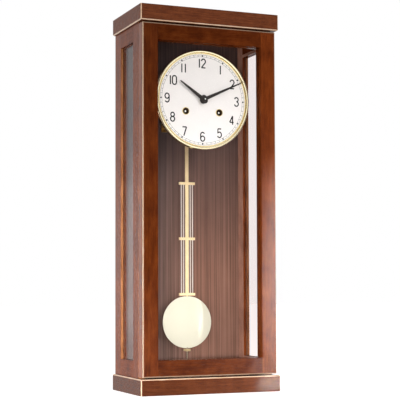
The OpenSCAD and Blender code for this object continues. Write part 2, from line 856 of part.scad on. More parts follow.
// Motion work in front of the front plate, and the hands in front of the dial
hour_hand_stand = 4.6;
minute_hand_stand = 8;
hour_hand_y = dial_y + hour_hand_stand;
minute_hand_y = dial_y + minute_hand_stand;
hand_front = minute_hand_y + hand_t;
hand_nut_t = 2;
nut_thread = 0.6;
cannon_t = 2.4;
cannon_stand = 3.4;
minute_wheel_stand = 3;
minute_pinion_stand = 6.4;
hour_wheel_stand = 5.6;
cannon_front = plate_front + cannon_stand;
minute_wheel_front = plate_front + minute_wheel_stand;
minute_pinion_front = plate_front + minute_pinion_stand;
hour_wheel_front = plate_front + hour_wheel_stand;
motion_t = 1.2;

module centre_wheel() color("gold") in_frame() {
    at_depth(centre, centre_wheel_d, wheel_t) crossed_wheel(centre_n, centre_m, 5, centre_hub_r);
    pinion(centre, second_wheel_d, wheel_t, centre_pinion_n, second_m, centre_turn);
    round_bar(centre, plate_inner - shoulder_gap, plate_gap - 2 * shoulder_gap, centre_body_r);
    round_bar(centre, hand_front + hand_nut_t + nut_thread,
        hand_front + hand_nut_t + nut_thread - plate_back, centre_arbor_r);
}

module cannon_pinion() color("gold") in_frame() {
    at_movement(centre, cannon_front, cannon_t) difference() {
        pinion_leaves(cannon_n, cannon_m);
        circle(centre_arbor_r);
    }
    at_movement(centre, minute_hand_y, minute_hand_y - cannon_front) difference() {
        circle(cannon_r);
        circle(centre_arbor_r);
    }
}

module minute_wheel() color("gold") in_frame() {
    at_movement(minute_pos, minute_wheel_front, motion_t) difference() {
        rotate(minute_turn) crossed_wheel(minute_n, cannon_m, 4, hub_r);
        circle(post_r + pivot_play);
    }
    at_movement(minute_pos, minute_pinion_front, minute_pinion_front - minute_wheel_front) difference() {
        pinion_leaves(minute_pinion_n, hour_m);
        circle(post_r + pivot_play);
    }
}

module hour_wheel() color("gold") in_frame() {
    at_movement(centre, hour_wheel_front, motion_t) difference() {
        rotate(hour_turn) crossed_wheel(hour_n, hour_m, 4, hour_hub_r);
        circle(cannon_r + pivot_play);
    }
    at_movement(centre, hour_hand_y, hour_hand_y - hour_wheel_front) difference() {
        circle(hour_pipe_r);
        circle(cannon_r + pivot_play);
    }
}

// A tapering pointer with a round boss, turned clockwise from twelve
module hand_outline(length, root_w, tip_w, boss_r, bore_r, clockwise) rotate(-clockwise) difference() {
    union() {
        circle(boss_r);
        polygon([[-root_w / 2, 0], [root_w / 2, 0], [tip_w / 2, length], [-tip_w / 2, length]]);
    }
    circle(bore_r);
}

hour_boss_r = 6;
minute_boss_r = 5;
hour_tip_w = 1.6;
minute_tip_w = 1.2;
hand_nut_r = 3;

module hour_hand() color("black") in_frame() at_movement(centre, hour_hand_y + hand_t, hand_t)
    hand_outline(hour_len, hour_root_w, hour_tip_w, hour_boss_r, cannon_r + pivot_play, hour_angle);

module minute_hand() color("black") in_frame() at_movement(centre, hand_front, hand_t)
    hand_outline(minute_len, minute_root_w, minute_tip_w, minute_boss_r, centre_arbor_r, 12 * hour_angle);

module hand_nut() color("black") in_frame()
    at_movement(centre, hand_front + hand_nut_t, hand_nut_t) difference() {
        circle(hand_nut_r);
        circle(centre_arbor_r);
    }

module second_wheel() color("gold") in_frame() {
    at_depth(second_arbor, second_wheel_d, wheel_t) crossed_wheel(second_n, second_m, 5, hub_r);
    pinion(second_arbor, great_d, great_t, second_pinion_n, great_m, second_turn);
    arbor(second_arbor, arbor_r);
}

// Mainspring barrel with its great wheel, running on the winding arbor
module barrel(p) difference() {
    union() {
        at_depth(p, great_d, great_t) wheel_teeth(great_n, great_m);
        at_depth(p, drum_d, drum_len) circle(barrel_r);
        at_depth(p, drum_d + drum_len, boss_t) circle(winding_r + boss_t + 1);
    }
    round_bar(p, plate_front, plate_gap + 2 * plate_t, winding_r + pivot_play);
}

ratchet_n = 24;
ratchet_r = 7;
ratchet_t = 1.5;
ratchet_gap = 0.6;
ratchet_back = 0.85;
ratchet_root = 0.86;
square_w = 3.4;
winding_reach = dial_y - plate_front - 1.5;

function ratchet_points() = [for (i = [0:ratchet_n - 1], c = [[0, 1], [ratchet_back, ratchet_root]])
    polar(ratchet_r * c[1], (i + c[0]) * 360 / ratchet_n)];

// Arbor that the key turns: ratchet wheel and square in front of the plate
module winding_arbor(p) {
    round_bar(p, plate_front + ratchet_gap, plate_gap + 2 * plate_t + ratchet_gap, winding_r);
    at_movement(p, plate_front + ratchet_gap + ratchet_t, ratchet_t) polygon(ratchet_points());
    at_movement(p, plate_front + winding_reach, winding_reach - ratchet_gap) square(square_w, center = true);
}

module time_barrel() color("gold") in_frame() barrel(time_pos);

module time_winding_arbor() color("silver") in_frame() winding_arbor(time_pos);

module strike_barrel() color("gold") in_frame() barrel(strike_pos);

module strike_winding_arbor() color("silver") in_frame() winding_arbor(strike_pos);

click_gap = 0.4;
click_turn = 70;
click_len = 8;
click_tip_w = 1.6;
click_r = 1.8;
click_head_h = 1;

// One click beside each ratchet wheel, with the head of its screw
module ratchet_clicks() color("silver") in_frame() for (p = [time_pos, strike_pos]) {
    tip = p + polar(ratchet_r + click_gap, click_turn);
    post = tip + polar(click_len, click_turn - 55);
    at_movement(centre, plate_front + ratchet_gap + ratchet_t, ratchet_t) polygon([
        tip, tip + polar(click_tip_w, click_turn + 10), post + polar(click_r, click_turn + 35),
        post + polar(click_r, click_turn - 145)]);
    round_bar(post, plate_front + ratchet_gap + ratchet_t + click_head_h,
        ratchet_gap + ratchet_t + click_head_h, click_r);
}

module third_wheel() color("gold") in_frame() {
    at_depth(third_pos, third_wheel_d, wheel_t) crossed_wheel(third_n, third_m, 4, fine_hub_r);
    pinion(third_pos, centre_wheel_d, wheel_t, third_pinion_n, centre_m, third_turn);
    arbor(third_pos, fine_arbor_r);
}

escape_root = 0.82;
escape_rim = 0.7;
escape_hub_r = 2.2;
escape_arm_w = 1.4;

function escape_points() =
    [for (i = [0:escape_n - 1], c = [[0, 1], [0.12, 1], [0.6, escape_root], [0.9, escape_root]])
        polar(escape_r * c[1], -(i + c[0]) * 360 / escape_n)];

module escape_wheel() color("gold") in_frame() {
    at_depth(escape_pos, escape_d, wheel_t) difference() {
        polygon(escape_points());
        difference() {
            circle(escape_r * escape_rim);
            circle(escape_hub_r);
            for (i = [0:3]) rotate(i * 90)
                translate([0, -escape_arm_w / 2]) square([escape_r, escape_arm_w]);
        }
    }
    pinion(escape_pos, third_wheel_d, wheel_t, escape_pinion_n, third_m, escape_turn);
    arbor(escape_pos, fine_arbor_r);
}

// Pallets stand on the tangents from the anchor to the escape wheel
pallet_gap = 1.1;
pallet_w = 2;
anchor_drop = pivot_rise - escape_rise;
pallet_angle = acos(escape_r / anchor_drop);
pallet_low = anchor_drop - (escape_r + pallet_gap) * cos(pallet_angle);
pallet_x = (escape_r + pallet_gap) * sin(pallet_angle);
pallet_neck = 1.3;
anchor_bend = -0.55 * pallet_low;
anchor_arm_w = 3.2;
anchor_hub_r = 2.4;
crutch_hub_r = 2.2;
crutch_w = 3;
crutch_len = 30;
fork_reach = crutch_y - pendulum_y + 4;
fork_play = 0.15;
fork_t = 1.4;

module anchor() color("silver") in_frame() {
    at_depth(anchor_pos, escape_d, wheel_t) {
        circle(anchor_hub_r);
        for (side = [0, 1]) mirror([side, 0])
            polygon([[0, anchor_arm_w / 2], [pallet_x + pallet_neck, anchor_bend],
                [pallet_x + pallet_w, -pallet_low - 0.4], [pallet_x, -pallet_low + 0.2],
                [pallet_x + pallet_neck - pallet_w, anchor_bend], [0, -anchor_arm_w / 2]]);
    }
    round_bar(anchor_pos, plate_front, plate_front - crutch_y + 1, arbor_r);
    at_movement(anchor_pos, crutch_y, 1) {
        circle(crutch_hub_r);
        translate([-crutch_w / 2, -crutch_len]) square([crutch_w, crutch_len]);
    }
    fork_x = rod_w / 2 + fork_play;
    translate([0, 0, pivot_z - crutch_len]) {
        box(-fork_x - fork_t, fork_x + fork_t, crutch_y, crutch_y - fork_t, 0, fork_t);
        for (side = [0, 1]) mirror([side, 0, 0])
            box(fork_x, fork_x + fork_t, crutch_y, crutch_y - fork_reach, 0, fork_t);
    }
}

// --- Pendulum -----------------------------------------------------------------------------

rod_front = pendulum_y + rod_t / 2;
rod_back = pendulum_y - rod_t / 2;
hook_t = 1.4;
hook_drop = 38;
eye_drop = 13;
hook_low = pivot_z - hook_drop;
hook_eye = pivot_z - eye_drop;
hook_pin_r = 0.9;
hook_play = 0.05;
hook_w = 4.8;
rivet_r = 1;
rivet_head_r = 1.6;
rivet_head_h = 0.6;
rivet_in = 2.4;
lap = 9.2;
rod_head = hook_low + lap;
rivet_places = [hook_low + rivet_in, rod_head - rivet_in];
chop_drop = 7;
chop_top = pivot_z - chop_drop;
chop_eye_drop = 2.2;
chop_bottom = hook_eye - chop_eye_drop;
chop_w = 5;
chop_d = 6.4;
chop_slot = hook_t + 0.4;
chop_slot_rise = 3;
spring_grip = 1.6;
spring_rise = cock_rise + spring_grip;

// Thin strip that bends at the pivot, with the brass block that carries the hook's pin
module suspension_spring() color("silver") in_frame() {
    mid = rod_back - hook_t / 2;
    box(-spring_t / 2, spring_t / 2, pendulum_y + spring_w / 2, pendulum_y - spring_w / 2,
        chop_top, pivot_z + spring_rise);
    difference() {
        box(-chop_w / 2, chop_w / 2, mid + chop_d / 2, mid - chop_d / 2, chop_bottom, chop_top);
        box(-chop_w, chop_w, mid + chop_slot / 2, mid - chop_slot / 2,
            chop_bottom - 1, hook_eye + chop_slot_rise);
    }
    translate([0, 0, hook_eye]) upright(mid + chop_d / 2, chop_d) circle(hook_pin_r);
}

module pendulum_hook() color("gold") in_frame() {
    upright(rod_back, hook_t) difference() {
        union() {
            translate([0, hook_eye]) circle(hook_w / 2);
            translate([-hook_w / 2, hook_low]) square([hook_w, hook_eye - hook_low]);
        }
        translate([0, hook_eye]) circle(hook_pin_r + hook_play);
    }
    for (z = rivet_places) translate([0, 0, z]) {
        upright(rod_front + rivet_head_h, rivet_head_h + rod_t + hook_t) circle(rivet_r);
        upright(rod_front + rivet_head_h, rivet_head_h) circle(rivet_head_r);
    }
}

crossbar_places = [for (i = [0:2]) crossbar_low + i * crossbar_pitch];
steel_places = [-steel_outer_x, -steel_inner_x, steel_inner_x, steel_outer_x];
steel_top = crossbar_places[2] + crossbar_h / 2 - 0.5;
steel_bottom = crossbar_places[0] - crossbar_h / 2 + 0.5;

module steel_rod_set(grow) for (x = steel_places)
    translate([x, -pendulum_y, steel_bottom]) cylinder(steel_top - steel_bottom, r = steel_rod_r + grow);

// Flat rod with its soldered crossbars and the threaded rod that the bob slides on
module pendulum_rod() color("gold") in_frame() difference() {
    union() {
        box(-rod_w / 2, rod_w / 2, rod_front, rod_back, crossbar_low, rod_head);
        for (z = crossbar_places) translate([0, -pendulum_y, z])
            cube([crossbar_w, crossbar_d, crossbar_h], center = true);
        translate([0, -pendulum_y, bob_z - bob_r - thread_len])
            cylinder(crossbar_low - bob_z + bob_r + thread_len, r = thread_r);
    }
    steel_rod_set(0);
    for (z = rivet_places) translate([0, 0, z]) upright(rod_front + 1, rod_t + 2) circle(rivet_r);
}

module steel_rods() color("silver") in_frame() steel_rod_set(0);

function cap_radius(h) = (bob_r * bob_r + h * h) / (2 * h);

// Lens of two shallow domes with a narrow rim, bored for the threaded rod
module bob() color("khaki") in_frame() translate([0, -pendulum_y, bob_z]) difference() {
    intersection() {
        rotate([90, 0, 0]) cylinder(4 * bob_front, r = bob_r, center = true, $fn = 180);
        translate([0, cap_radius(bob_front) - bob_front - bob_rim / 2, 0])
            sphere(cap_radius(bob_front), $fn = 400);
        translate([0, bob_back + bob_rim / 2 - cap_radius(bob_back), 0])
            sphere(cap_radius(bob_back), $fn = 400);
    }
    cylinder(3 * bob_r, r = thread_r + pivot_play, center = true);
}

nut_gap = 1.2;

module rating_nut() color("gold") in_frame()
    translate([0, -pendulum_y, bob_z - bob_r - nut_gap - nut_h]) difference() {
        cylinder(nut_h, r = nut_r);
        translate([0, 0, -1]) cylinder(nut_h + 2, r = thread_r + pivot_play);
    }

// --- Strike train ---------------------------------------------------------------------------

module strike_second_wheel() color("gold") in_frame() {
    at_depth(strike_second_pos, second_wheel_d, wheel_t)
        crossed_wheel(strike_second_n, strike_second_m, 5, hub_r);
    pinion(strike_second_pos, great_d, great_t, second_pinion_n, great_m, strike_second_turn);
    arbor(strike_second_pos, arbor_r);
}

module pin_wheel() color("gold") in_frame() {
    at_depth(pin_pos, pin_wheel_d, wheel_t) crossed_wheel(pin_n, pin_m, 4, fine_hub_r);
    for (i = [0:pin_count - 1]) at_depth(pin_pos, pin_wheel_d + wheel_t, pin_len)
        rotate(i * 360 / pin_count) translate([pin_circle_r, 0]) circle(pin_r);
    pinion(pin_pos, second_wheel_d, wheel_t, pin_pinion_n, strike_second_m, pin_turn);
    arbor(pin_pos, fine_arbor_r);
}

fly_r = 8;
fly_t = 0.5;
fly_sleeve_r = 1.3;
fly_len = 14;
fly_d = 3;

module fly() color("silver") in_frame() {
    at_depth(fly_pos, fly_d, fly_len) square([2 * fly_r, fly_t], center = true);
    at_depth(fly_pos, fly_d, fly_len) circle(fly_sleeve_r);
    pinion(fly_pos, pin_wheel_d, wheel_t, fly_pinion_n, pin_m, fly_turn);
    arbor(fly_pos, fine_arbor_r);
}

hammer_y = bell_mouth - 1;
hammer_head_r = 3;
hammer_head_h = 8;
hammer_gap = 0.9;
hammer_x = -1.5;
hammer_arm_w = 1.6;
hammer_arm_t = 1.2;
hammer_hub_r = 2.2;
tail_gap = 1.2;
tail_w = 2;
tail_t = 1.6;
tail_d = pin_wheel_d + wheel_t + 0.4;

module bar(a, b, w) {
    across = polar(w / 2, heading(a, b) + 90);
    polygon([a - across, b - across, b + across, a + across]);
}

module hammer() color("silver") in_frame() {
    head = bell_pos + [hammer_x, sqrt(bell_r * bell_r - hammer_x * hammer_x) + hammer_gap];
    tail = pin_pos + polar(pin_circle_r + pin_r + tail_gap, heading(pin_pos, hammer_pos));
    round_bar(hammer_pos, plate_front, plate_front - hammer_y + hammer_arm_t, arbor_r);
    at_depth(hammer_pos, tail_d, tail_t) circle(hammer_hub_r);
    at_depth(centre, tail_d, tail_t) bar(hammer_pos, tail, tail_w);
    at_movement(hammer_pos, hammer_y, hammer_arm_t) circle(hammer_hub_r);
    at_movement(centre, hammer_y, hammer_arm_t)
        bar(hammer_pos, head + [0, hammer_head_h / 2], hammer_arm_w);
    translate([head[0], hammer_arm_t / 2 - hammer_y, dial_z + head[1]])
        cylinder(hammer_head_h, r = hammer_head_r);
}

crown();
base();
case_edging();
left_stiles();
left_rails();
right_stiles();
right_rails();
side_panes();
side_beads();
back_board();
hanger_plate();
case_screws();
door_magnet();
case_hinge_leaves();
door_left_stile();
door_right_stile();
door_top_rail();
door_bottom_rail();
door_edging();
door_pane();
door_beads();
strike_plate();
door_hinge_leaves();
hinge_pins();
movement_brackets();
front_plate();
back_plate();
pillars();
pillar_nuts();
dial_plate();
dial_bezel();
winding_grommets();
suspension_cock();
bell();
ratchet_clicks();
centre_wheel();
cannon_pinion();
minute_hand();
hand_nut();
hour_wheel();
hour_hand();
minute_wheel();
second_wheel();
time_barrel();
time_winding_arbor();
third_wheel();
escape_wheel();
anchor();
suspension_spring();
pendulum_hook();
pendulum_rod();
steel_rods();
bob();
rating_nut();
strike_barrel();
strike_winding_arbor();
strike_second_wheel();
pin_wheel();
fly();
hammer();
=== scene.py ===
import math
import bpy
import bmesh
from mathutils import Matrix, Vector


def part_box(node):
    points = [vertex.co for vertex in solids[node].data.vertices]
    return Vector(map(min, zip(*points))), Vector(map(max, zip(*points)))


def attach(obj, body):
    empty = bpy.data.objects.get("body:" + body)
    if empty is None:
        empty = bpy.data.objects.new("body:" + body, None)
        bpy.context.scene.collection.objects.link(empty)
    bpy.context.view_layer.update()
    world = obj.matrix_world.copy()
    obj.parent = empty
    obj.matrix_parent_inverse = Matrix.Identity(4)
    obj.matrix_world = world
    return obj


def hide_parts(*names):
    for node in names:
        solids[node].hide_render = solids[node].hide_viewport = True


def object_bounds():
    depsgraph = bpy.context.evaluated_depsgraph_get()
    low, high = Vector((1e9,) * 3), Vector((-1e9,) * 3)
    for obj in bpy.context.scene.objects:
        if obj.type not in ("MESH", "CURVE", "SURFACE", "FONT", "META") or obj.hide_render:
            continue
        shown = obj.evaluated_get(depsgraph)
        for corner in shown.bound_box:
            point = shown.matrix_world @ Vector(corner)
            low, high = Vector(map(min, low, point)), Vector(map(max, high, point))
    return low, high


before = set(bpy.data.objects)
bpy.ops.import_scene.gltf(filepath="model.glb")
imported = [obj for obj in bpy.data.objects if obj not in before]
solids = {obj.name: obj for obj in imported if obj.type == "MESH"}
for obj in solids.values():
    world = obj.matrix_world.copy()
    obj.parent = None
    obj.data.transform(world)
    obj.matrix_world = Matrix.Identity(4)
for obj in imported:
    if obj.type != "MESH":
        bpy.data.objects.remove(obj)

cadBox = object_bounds()
mm = 0.001
bpy.context.scene.view_settings.view_transform = "Standard"


def middleOf(node, drop=""):  # the middle of a solid's box, with the dropped coordinates at 0
    low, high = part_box(node)
    middle = (low + high) / 2
    for axis in drop:
        setattr(middle, axis, 0)
    return middle


# camera, standing to the left of the clock and below its middle; angles in degrees
cameraStand = {"place": (-0.6918, -1.7740, -0.3434), "turn": -22.43, "tilt": 2.94,
               "roll": -0.186, "lens": 108.9, "across": -0.00925, "up": 0.062, "near": 0.05}


def standCamera(stand):
    camera = bpy.data.objects.new("camera", bpy.data.cameras.new("camera"))
    bpy.context.scene.collection.objects.link(camera)
    camera.data.lens = stand["lens"]
    camera.data.shift_x = stand["across"]
    camera.data.shift_y = stand["up"]
    camera.data.clip_start = stand["near"]
    turn = Matrix.Rotation(math.radians(stand["turn"]), 4, "Z")
    tilt = Matrix.Rotation(math.radians(90 + stand["tilt"]), 4, "X")
    roll = Matrix.Rotation(math.radians(stand["roll"]), 4, "Z")
    camera.matrix_world = Matrix.Translation(stand["place"]) @ turn @ tilt @ roll
    bpy.context.scene.camera = camera


standCamera(cameraStand)
print("camera stands")


class Wire:  # one output of a shader node, ready for arithmetic
    def __init__(self, finish, socket):
        self.finish, self.socket = finish, socket

    def math(self, operation, *values, clamp=False):
        settings = {"operation": operation, "use_clamp": clamp}
        return self.finish.add("Math", settings, dict(enumerate(values)))

    def __add__(self, other):
        return self.math("ADD", self, other)

    def __sub__(self, other):
        return self.math("SUBTRACT", self, other)

    def __rsub__(self, other):
        return self.math("SUBTRACT", other, self)

    def __mul__(self, other):
        return self.math("MULTIPLY", self, other)

    def __pow__(self, other):
        return self.math("POWER", self, other)

    __radd__ = __add__
    __rmul__ = __mul__

    def above(self, edge, soft):  # 0 below the edge, 1 above it
        return self.math("MULTIPLY_ADD", self, 1 / soft, 0.5 - edge / soft, clamp=True)

    def most(self, other):
        return self.math("MAXIMUM", self, other)

    def least(self, other):
        return self.math("MINIMUM", self, other)

    def size(self):
        return self.math("ABSOLUTE", self)


faceTurn = {"edge": 0.6, "soft": 0.1}  # how squarely a face has to look along an axis


class Finish:  # a material under way
    def __init__(self, name, owner=None):
        self.owner = owner or bpy.data.materials.new(name)
        self.owner.use_nodes = True
        self.tree = self.owner.node_tree
        self.tree.nodes.clear()

    def add(self, kind, settings=None, sockets=None, out=0):
        node = self.tree.nodes.new("ShaderNode" + kind)
        for key, value in (settings or {}).items():
            if key == "stops":
                while len(node.color_ramp.elements) < len(value):
                    node.color_ramp.elements.new(1)
                for element, (place, colour) in zip(node.color_ramp.elements, value):
                    element.position, element.color = place, (*colour, 1)
            else:
                setattr(node, key, value)
        for key, value in (sockets or {}).items():
            if isinstance(value, Wire):
                self.tree.links.new(value.socket, node.inputs[key])
            else:
                node.inputs[key].default_value = value
        return Wire(self, node.outputs[out]) if node.outputs else None

    def place(self, scale=(1, 1, 1)):  # object coordinates
        coords = self.add("TexCoord", out="Object")
        return self.add("Mapping", None, {"Vector": coords, "Scale": scale})

    def noise(self, where, scale, detail=2, rough=0.5, twist=0.0):
        return self.add("TexNoise", None, {"Vector": where, "Scale": scale, "Detail": detail,
                                           "Roughness": rough, "Distortion": twist})

    def ramp(self, value, *stops):
        return self.add("ValToRGB", {"stops": stops}, {"Fac": value})

    def blend(self, share, first, second, how="MIX"):
        colour = {"data_type": "RGBA", "blend_type": how}
        first = first if isinstance(first, Wire) else (*first, 1)
        second = second if isinstance(second, Wire) else (*second, 1)
        return self.add("Mix", colour, {0: share, 6: first, 7: second}, out=2)

    def toned(self, colour, toward, tone):  # the colour times the tone, where toward is 1
        return self.blend(1.0, colour, toward * (tone - 1) + 1, "MULTIPLY")

    def blendPlaces(self, share, first, second):
        return self.add("Mix", {"data_type": "VECTOR"}, {0: share, 4: first, 5: second}, out=1)

    def axis(self, name, of="Object"):
        coords = self.add("TexCoord", out=of)
        return self.add("SeparateXYZ", None, {0: coords}, out=name)

    def facing(self, axis, either=False):  # 1 on faces that look down the axis, or either way
        look = self.axis(axis, "Normal")
        return (look.size() if either else look * -1).above(faceTurn["edge"], faceTurn["soft"])

    def off(self, middle):  # distance from an axis that runs front to back
        across, up = self.axis("X") - middle.x, self.axis("Z") - middle.z
        return (across * across + up * up) ** 0.5

    def near(self, middles):  # distance from the nearest of several such axes
        nearest = self.off(middles[0])
        for middle in middles[1:]:
            nearest = nearest.least(self.off(middle))
        return nearest

    def seen(self):  # 1 for rays that the eye sees, straight, mirrored or through glass
        rays = self.add("LightPath", out="Is Camera Ray")
        for kind in ("Is Glossy Ray", "Is Transmission Ray"):
            rays = rays.most(self.add("LightPath", out=kind))
        return rays

    def bump(self, height, depth, strength=1.0):
        return self.add("Bump", None, {"Height": height, "Distance": depth, "Strength": strength})

    def surface(self, sockets):
        return self.close(self.add("BsdfPrincipled", None, sockets))

    def close(self, shader):
        onPiece = isinstance(self.owner, bpy.types.Material)
        self.add("OutputMaterial" if onPiece else "OutputWorld", None, {"Surface": shader})
        return self.owner


# studio: a white room for the eye, for metal and for glass, and a softer level for lighting;
# a lamp with a spread under the narrow one is an ellipse
studio = {"level": 0.36, "white": (1, 1, 1), "floor": (0.8, 0.8, 0.8), "glow": 0.78,
          "floorSize": 16, "floorDrop": 0.2 * mm, "narrow": 5}
lamps = [  # name, place, aim, width, height, watts, spread in degrees, seen in reflections
    ("keyLamp", (0.60, -2.75, 0.48), (0, 0, -0.15), 1.7, 1.4, 40, 180, False),
    ("nearLamp", (0.775, -1.20, -0.60), (0.107, -0.13, -0.61), 0.045, 0.92, 0.108, 2, True),
    ("lowLamp", (-0.66, -1.60, -0.38), (0.08, 0, -0.50), 1.0, 0.16, 2.6, 40, False),
    ("leftLamp", (-2.1, -0.50, -0.42), (-0.11, 0, -0.48), 0.9, 0.3, 4.5, 60, False),
    ("rearLamp", (-1.00, 2.10, -0.24), (-0.11, -0.1, -0.40), 1.6, 0.5, 1.3, 180, True),
]


def lightStudio():
    room = Finish("room", bpy.data.worlds.new("room"))
    strength = room.seen() * (1 - studio["level"]) + studio["level"]
    air = {"Color": (*studio["white"], 1), "Strength": strength}
    room.close(room.add("Background", None, air))
    bpy.context.scene.world = room.owner
    for name, place, aim, width, height, watts, spread, shiny in lamps:
        lamp = bpy.data.lights.new(name, "AREA")
        lamp.shape = "ELLIPSE" if spread < studio["narrow"] else "RECTANGLE"
        lamp.size, lamp.size_y, lamp.energy = width, height, watts
        lamp.spread = math.radians(spread)
        stand = bpy.data.objects.new(name, lamp)
        stand.location = place
        look = Vector(aim) - Vector(place)
        stand.rotation_euler = look.to_track_quat("-Z", "Y").to_euler()
        stand.visible_glossy, stand.visible_camera = shiny, False
        bpy.context.scene.collection.objects.link(stand)


def layFloor():
    shape = bmesh.new()
    bmesh.ops.create_grid(shape, x_segments=4, y_segments=4, size=studio["floorSize"] / 2)
    under = (0, 0, cadBox[0].z - studio["floorDrop"])
    bmesh.ops.translate(shape, verts=shape.verts, vec=under)
    mesh = bpy.data.meshes.new("floor")
    shape.to_mesh(mesh)
    floor = bpy.data.objects.new("floor", mesh)
    bpy.context.scene.collection.objects.link(floor)
    paint = Finish("floorPaint")
    grey = paint.add("BsdfDiffuse", None, {"Color": (*studio["floor"], 1)})
    glow = paint.add("Emission", None, {"Color": (1, 1, 1, 1), "Strength": studio["glow"]})
    both = paint.add("AddShader", None, {0: grey, 1: glow})
    mixed = paint.add("MixShader", None, {0: paint.seen(), 1: grey, 2: both})
    mesh.materials.append(paint.close(mixed))


lightStudio()
layFloor()
print("studio lit")


# walnut stain on beech: long figure, soft blotches, a fine speckle and short dark pores
walnut = {"deep": (0.066, 0.0120, 0.0026), "mid": (0.132, 0.0260, 0.0050),
          "light": (0.210, 0.0470, 0.0090), "stops": (0.38, 0.5, 0.63), "shade": 1,
          "stretch": 0.10, "figure": 330, "blotch": 55, "speck": 1000, "mix": (0.34, 0.36, 0.30),
          "tallBlotch": 0.5, "pores": 1900, "open": 0.62, "poreSoft": 0.12, "ink": 0.35,
          "relief": 0.015, "press": 0.4, "speckRise": 0.4, "poreDip": 0.8,
          "rough": 0.24, "blotchRough": 0.08, "poreRough": 0.12, "gloss": 0.06}


def dimmed(colour, share):
    return tuple(c * share for c in colour)


def shaded(tones, share):
    return {tone: dimmed(tones[tone], share) for tone in ("deep", "mid", "light")}


def woodSkin(finish, along, wood):  # colour, roughness and relief
    deep, mid, light = shaded(wood, wood["shade"]).values()
    grains = []
    for axis in along:
        squash = [1, 1, 1]
        squash["xyz".index(axis)] = wood["stretch"]
        grains.append(finish.place(squash))
    where = grains[0]
    if len(grains) > 1:  # a slab: the grain turns the corner on its ends
        where = finish.blendPlaces(finish.facing("X", either=True), *grains)
    tall = wood["tallBlotch"] if "z" in along else 1
    figure = finish.noise(where, wood["figure"], detail=5, rough=0.65, twist=0.3)
    blotch = finish.noise(finish.place((1, 1, tall)), wood["blotch"], detail=3, rough=0.55)
    speck = finish.noise(finish.place(), wood["speck"], rough=0.6)
    pores = finish.noise(where, wood["pores"]).above(wood["open"], wood["poreSoft"])
    long, soft, fine = wood["mix"]
    mixed = figure * long + blotch * soft + speck * fine
    colour = finish.ramp(mixed, *zip(wood["stops"], (deep, mid, light)))
    colour = finish.blend(pores * wood["ink"], colour, deep)
    skin = speck * wood["speckRise"] - pores * wood["poreDip"]
    smooth = wood["rough"] - wood["blotchRough"] / 2
    rough = blotch * wood["blotchRough"] + pores * wood["poreRough"] + smooth
    return colour, rough, finish.bump(skin, wood["relief"] * mm, wood["press"])


# along: the grain's axis, and for a slab a second one for its ends
# frontLighting, inner: other tones on the faces that look forward, or left, painted light and
# shade; flank: a coat on the sides
# paintedLight: (axis, way, edge, soft, tone, coat), painted light or shade as another tone, and a
# coat for sheen, toward one end
def woodFinish(name, along, tones=None, frontLighting=None, inner=None, flank=0, paintedLight=None, **change):
    wood = {**walnut, **(tones or {}), **change}
    finish = Finish(name)
    colour, rough, relief = woodSkin(finish, along, wood)
    sockets = {"Roughness": rough, "Specular IOR Level": wood["gloss"], "Normal": relief}
    # faces that look forward or left take other tones: painted light and shade for how they are
    # lit
    for other, axis in ((frontLighting, "Y"), (inner, "X")):
        if other:
            skin = woodSkin(finish, along, {**wood, **other})[0]
            colour = finish.blend(finish.facing(axis), colour, skin)
    coat = 0
    # painted light or shade: another tone toward one end, with a coat there for sheen
    if paintedLight:
        axis, way, edge, soft, tone, shine = paintedLight
        toward = (finish.axis(axis) * way).above(edge, soft)
        colour = finish.toned(colour, toward, tone)
        coat = toward * shine if shine else 0
    if flank:
        coat = finish.facing("X", either=True) * flank + coat
    if coat:
        sockets["Coat Weight"] = coat
        sockets["Coat Roughness"] = wood["rough"]
    return finish.surface({"Base Color": colour, **sockets})


slabTones = {"deep": (0.055, 0.0130, 0.0045), "mid": (0.115, 0.0300, 0.0100),
             "light": (0.170, 0.0480, 0.0160)}
# lighter tones for faces that look forward: painted light where the front lamps reach them
litJambTones = {"deep": (0.170, 0.0580, 0.0190), "mid": (0.360, 0.1420, 0.0560),
             "light": (0.480, 0.2100, 0.0880)}
backTones = {"deep": (0.118, 0.0580, 0.0410), "mid": (0.186, 0.0950, 0.0670),
             "light": (0.238, 0.1260, 0.0910)}
# darker, greyer tones for the back board's left: painted shade with a painted haze of reflection
hazeShadeTones = {"deep": (0.084, 0.0530, 0.0440), "mid": (0.144, 0.0910, 0.0760),
             "light": (0.196, 0.1240, 0.1030)}
mapleTones = {"deep": (0.600, 0.3800, 0.2300), "mid": (0.720, 0.5100, 0.3500),
              "light": (0.800, 0.6200, 0.4600)}

# door's left stile: front faces a darker copy of its sides, painted shade; its foot lighter with
# a coat, painted light and sheen
walnutLeft = woodFinish("walnutLeft", "z", shade=1.05, gloss=0.02, frontLighting=shaded(walnut, 0.55),
                        flank=0.5, paintedLight=("Z", -1, 0.38, 0.16, 1.27, 0.20))
# door's right stile: a slightly darker tone and a coat toward its foot, painted shade and sheen
# where a lamp falls
walnutRight = woodFinish("walnutRight", "z", shade=0.97, gloss=0.01,
                         paintedLight=("Z", -1, 0.14, 0.16, 0.96, 0.20))
# right stiles and side beads: faces that look forward or left take lighter tones, painted light
# where they are lit
walnutUp = woodFinish("walnutUp", "z", frontLighting=shaded(litJambTones, 0.5), inner=shaded(backTones, 1.8))
walnutInner = woodFinish("walnutInner", "z", shade=0.9, inner=shaded(backTones, 2.0))
walnutBead = woodFinish("walnutBead", "z", shade=0.9)
# side stiles: faces that look forward take lighter tones, painted light
walnutSide = woodFinish("walnutSide", "z", frontLighting=litJambTones, shade=1.05, gloss=0.09)
# door's top rail: lighter toward the right, painted shade toward the left
walnutTop = woodFinish("walnutTop", "x", shade=0.52, gloss=0.01,
                       paintedLight=("X", 1, -0.02, 0.12, 1.30, 0))
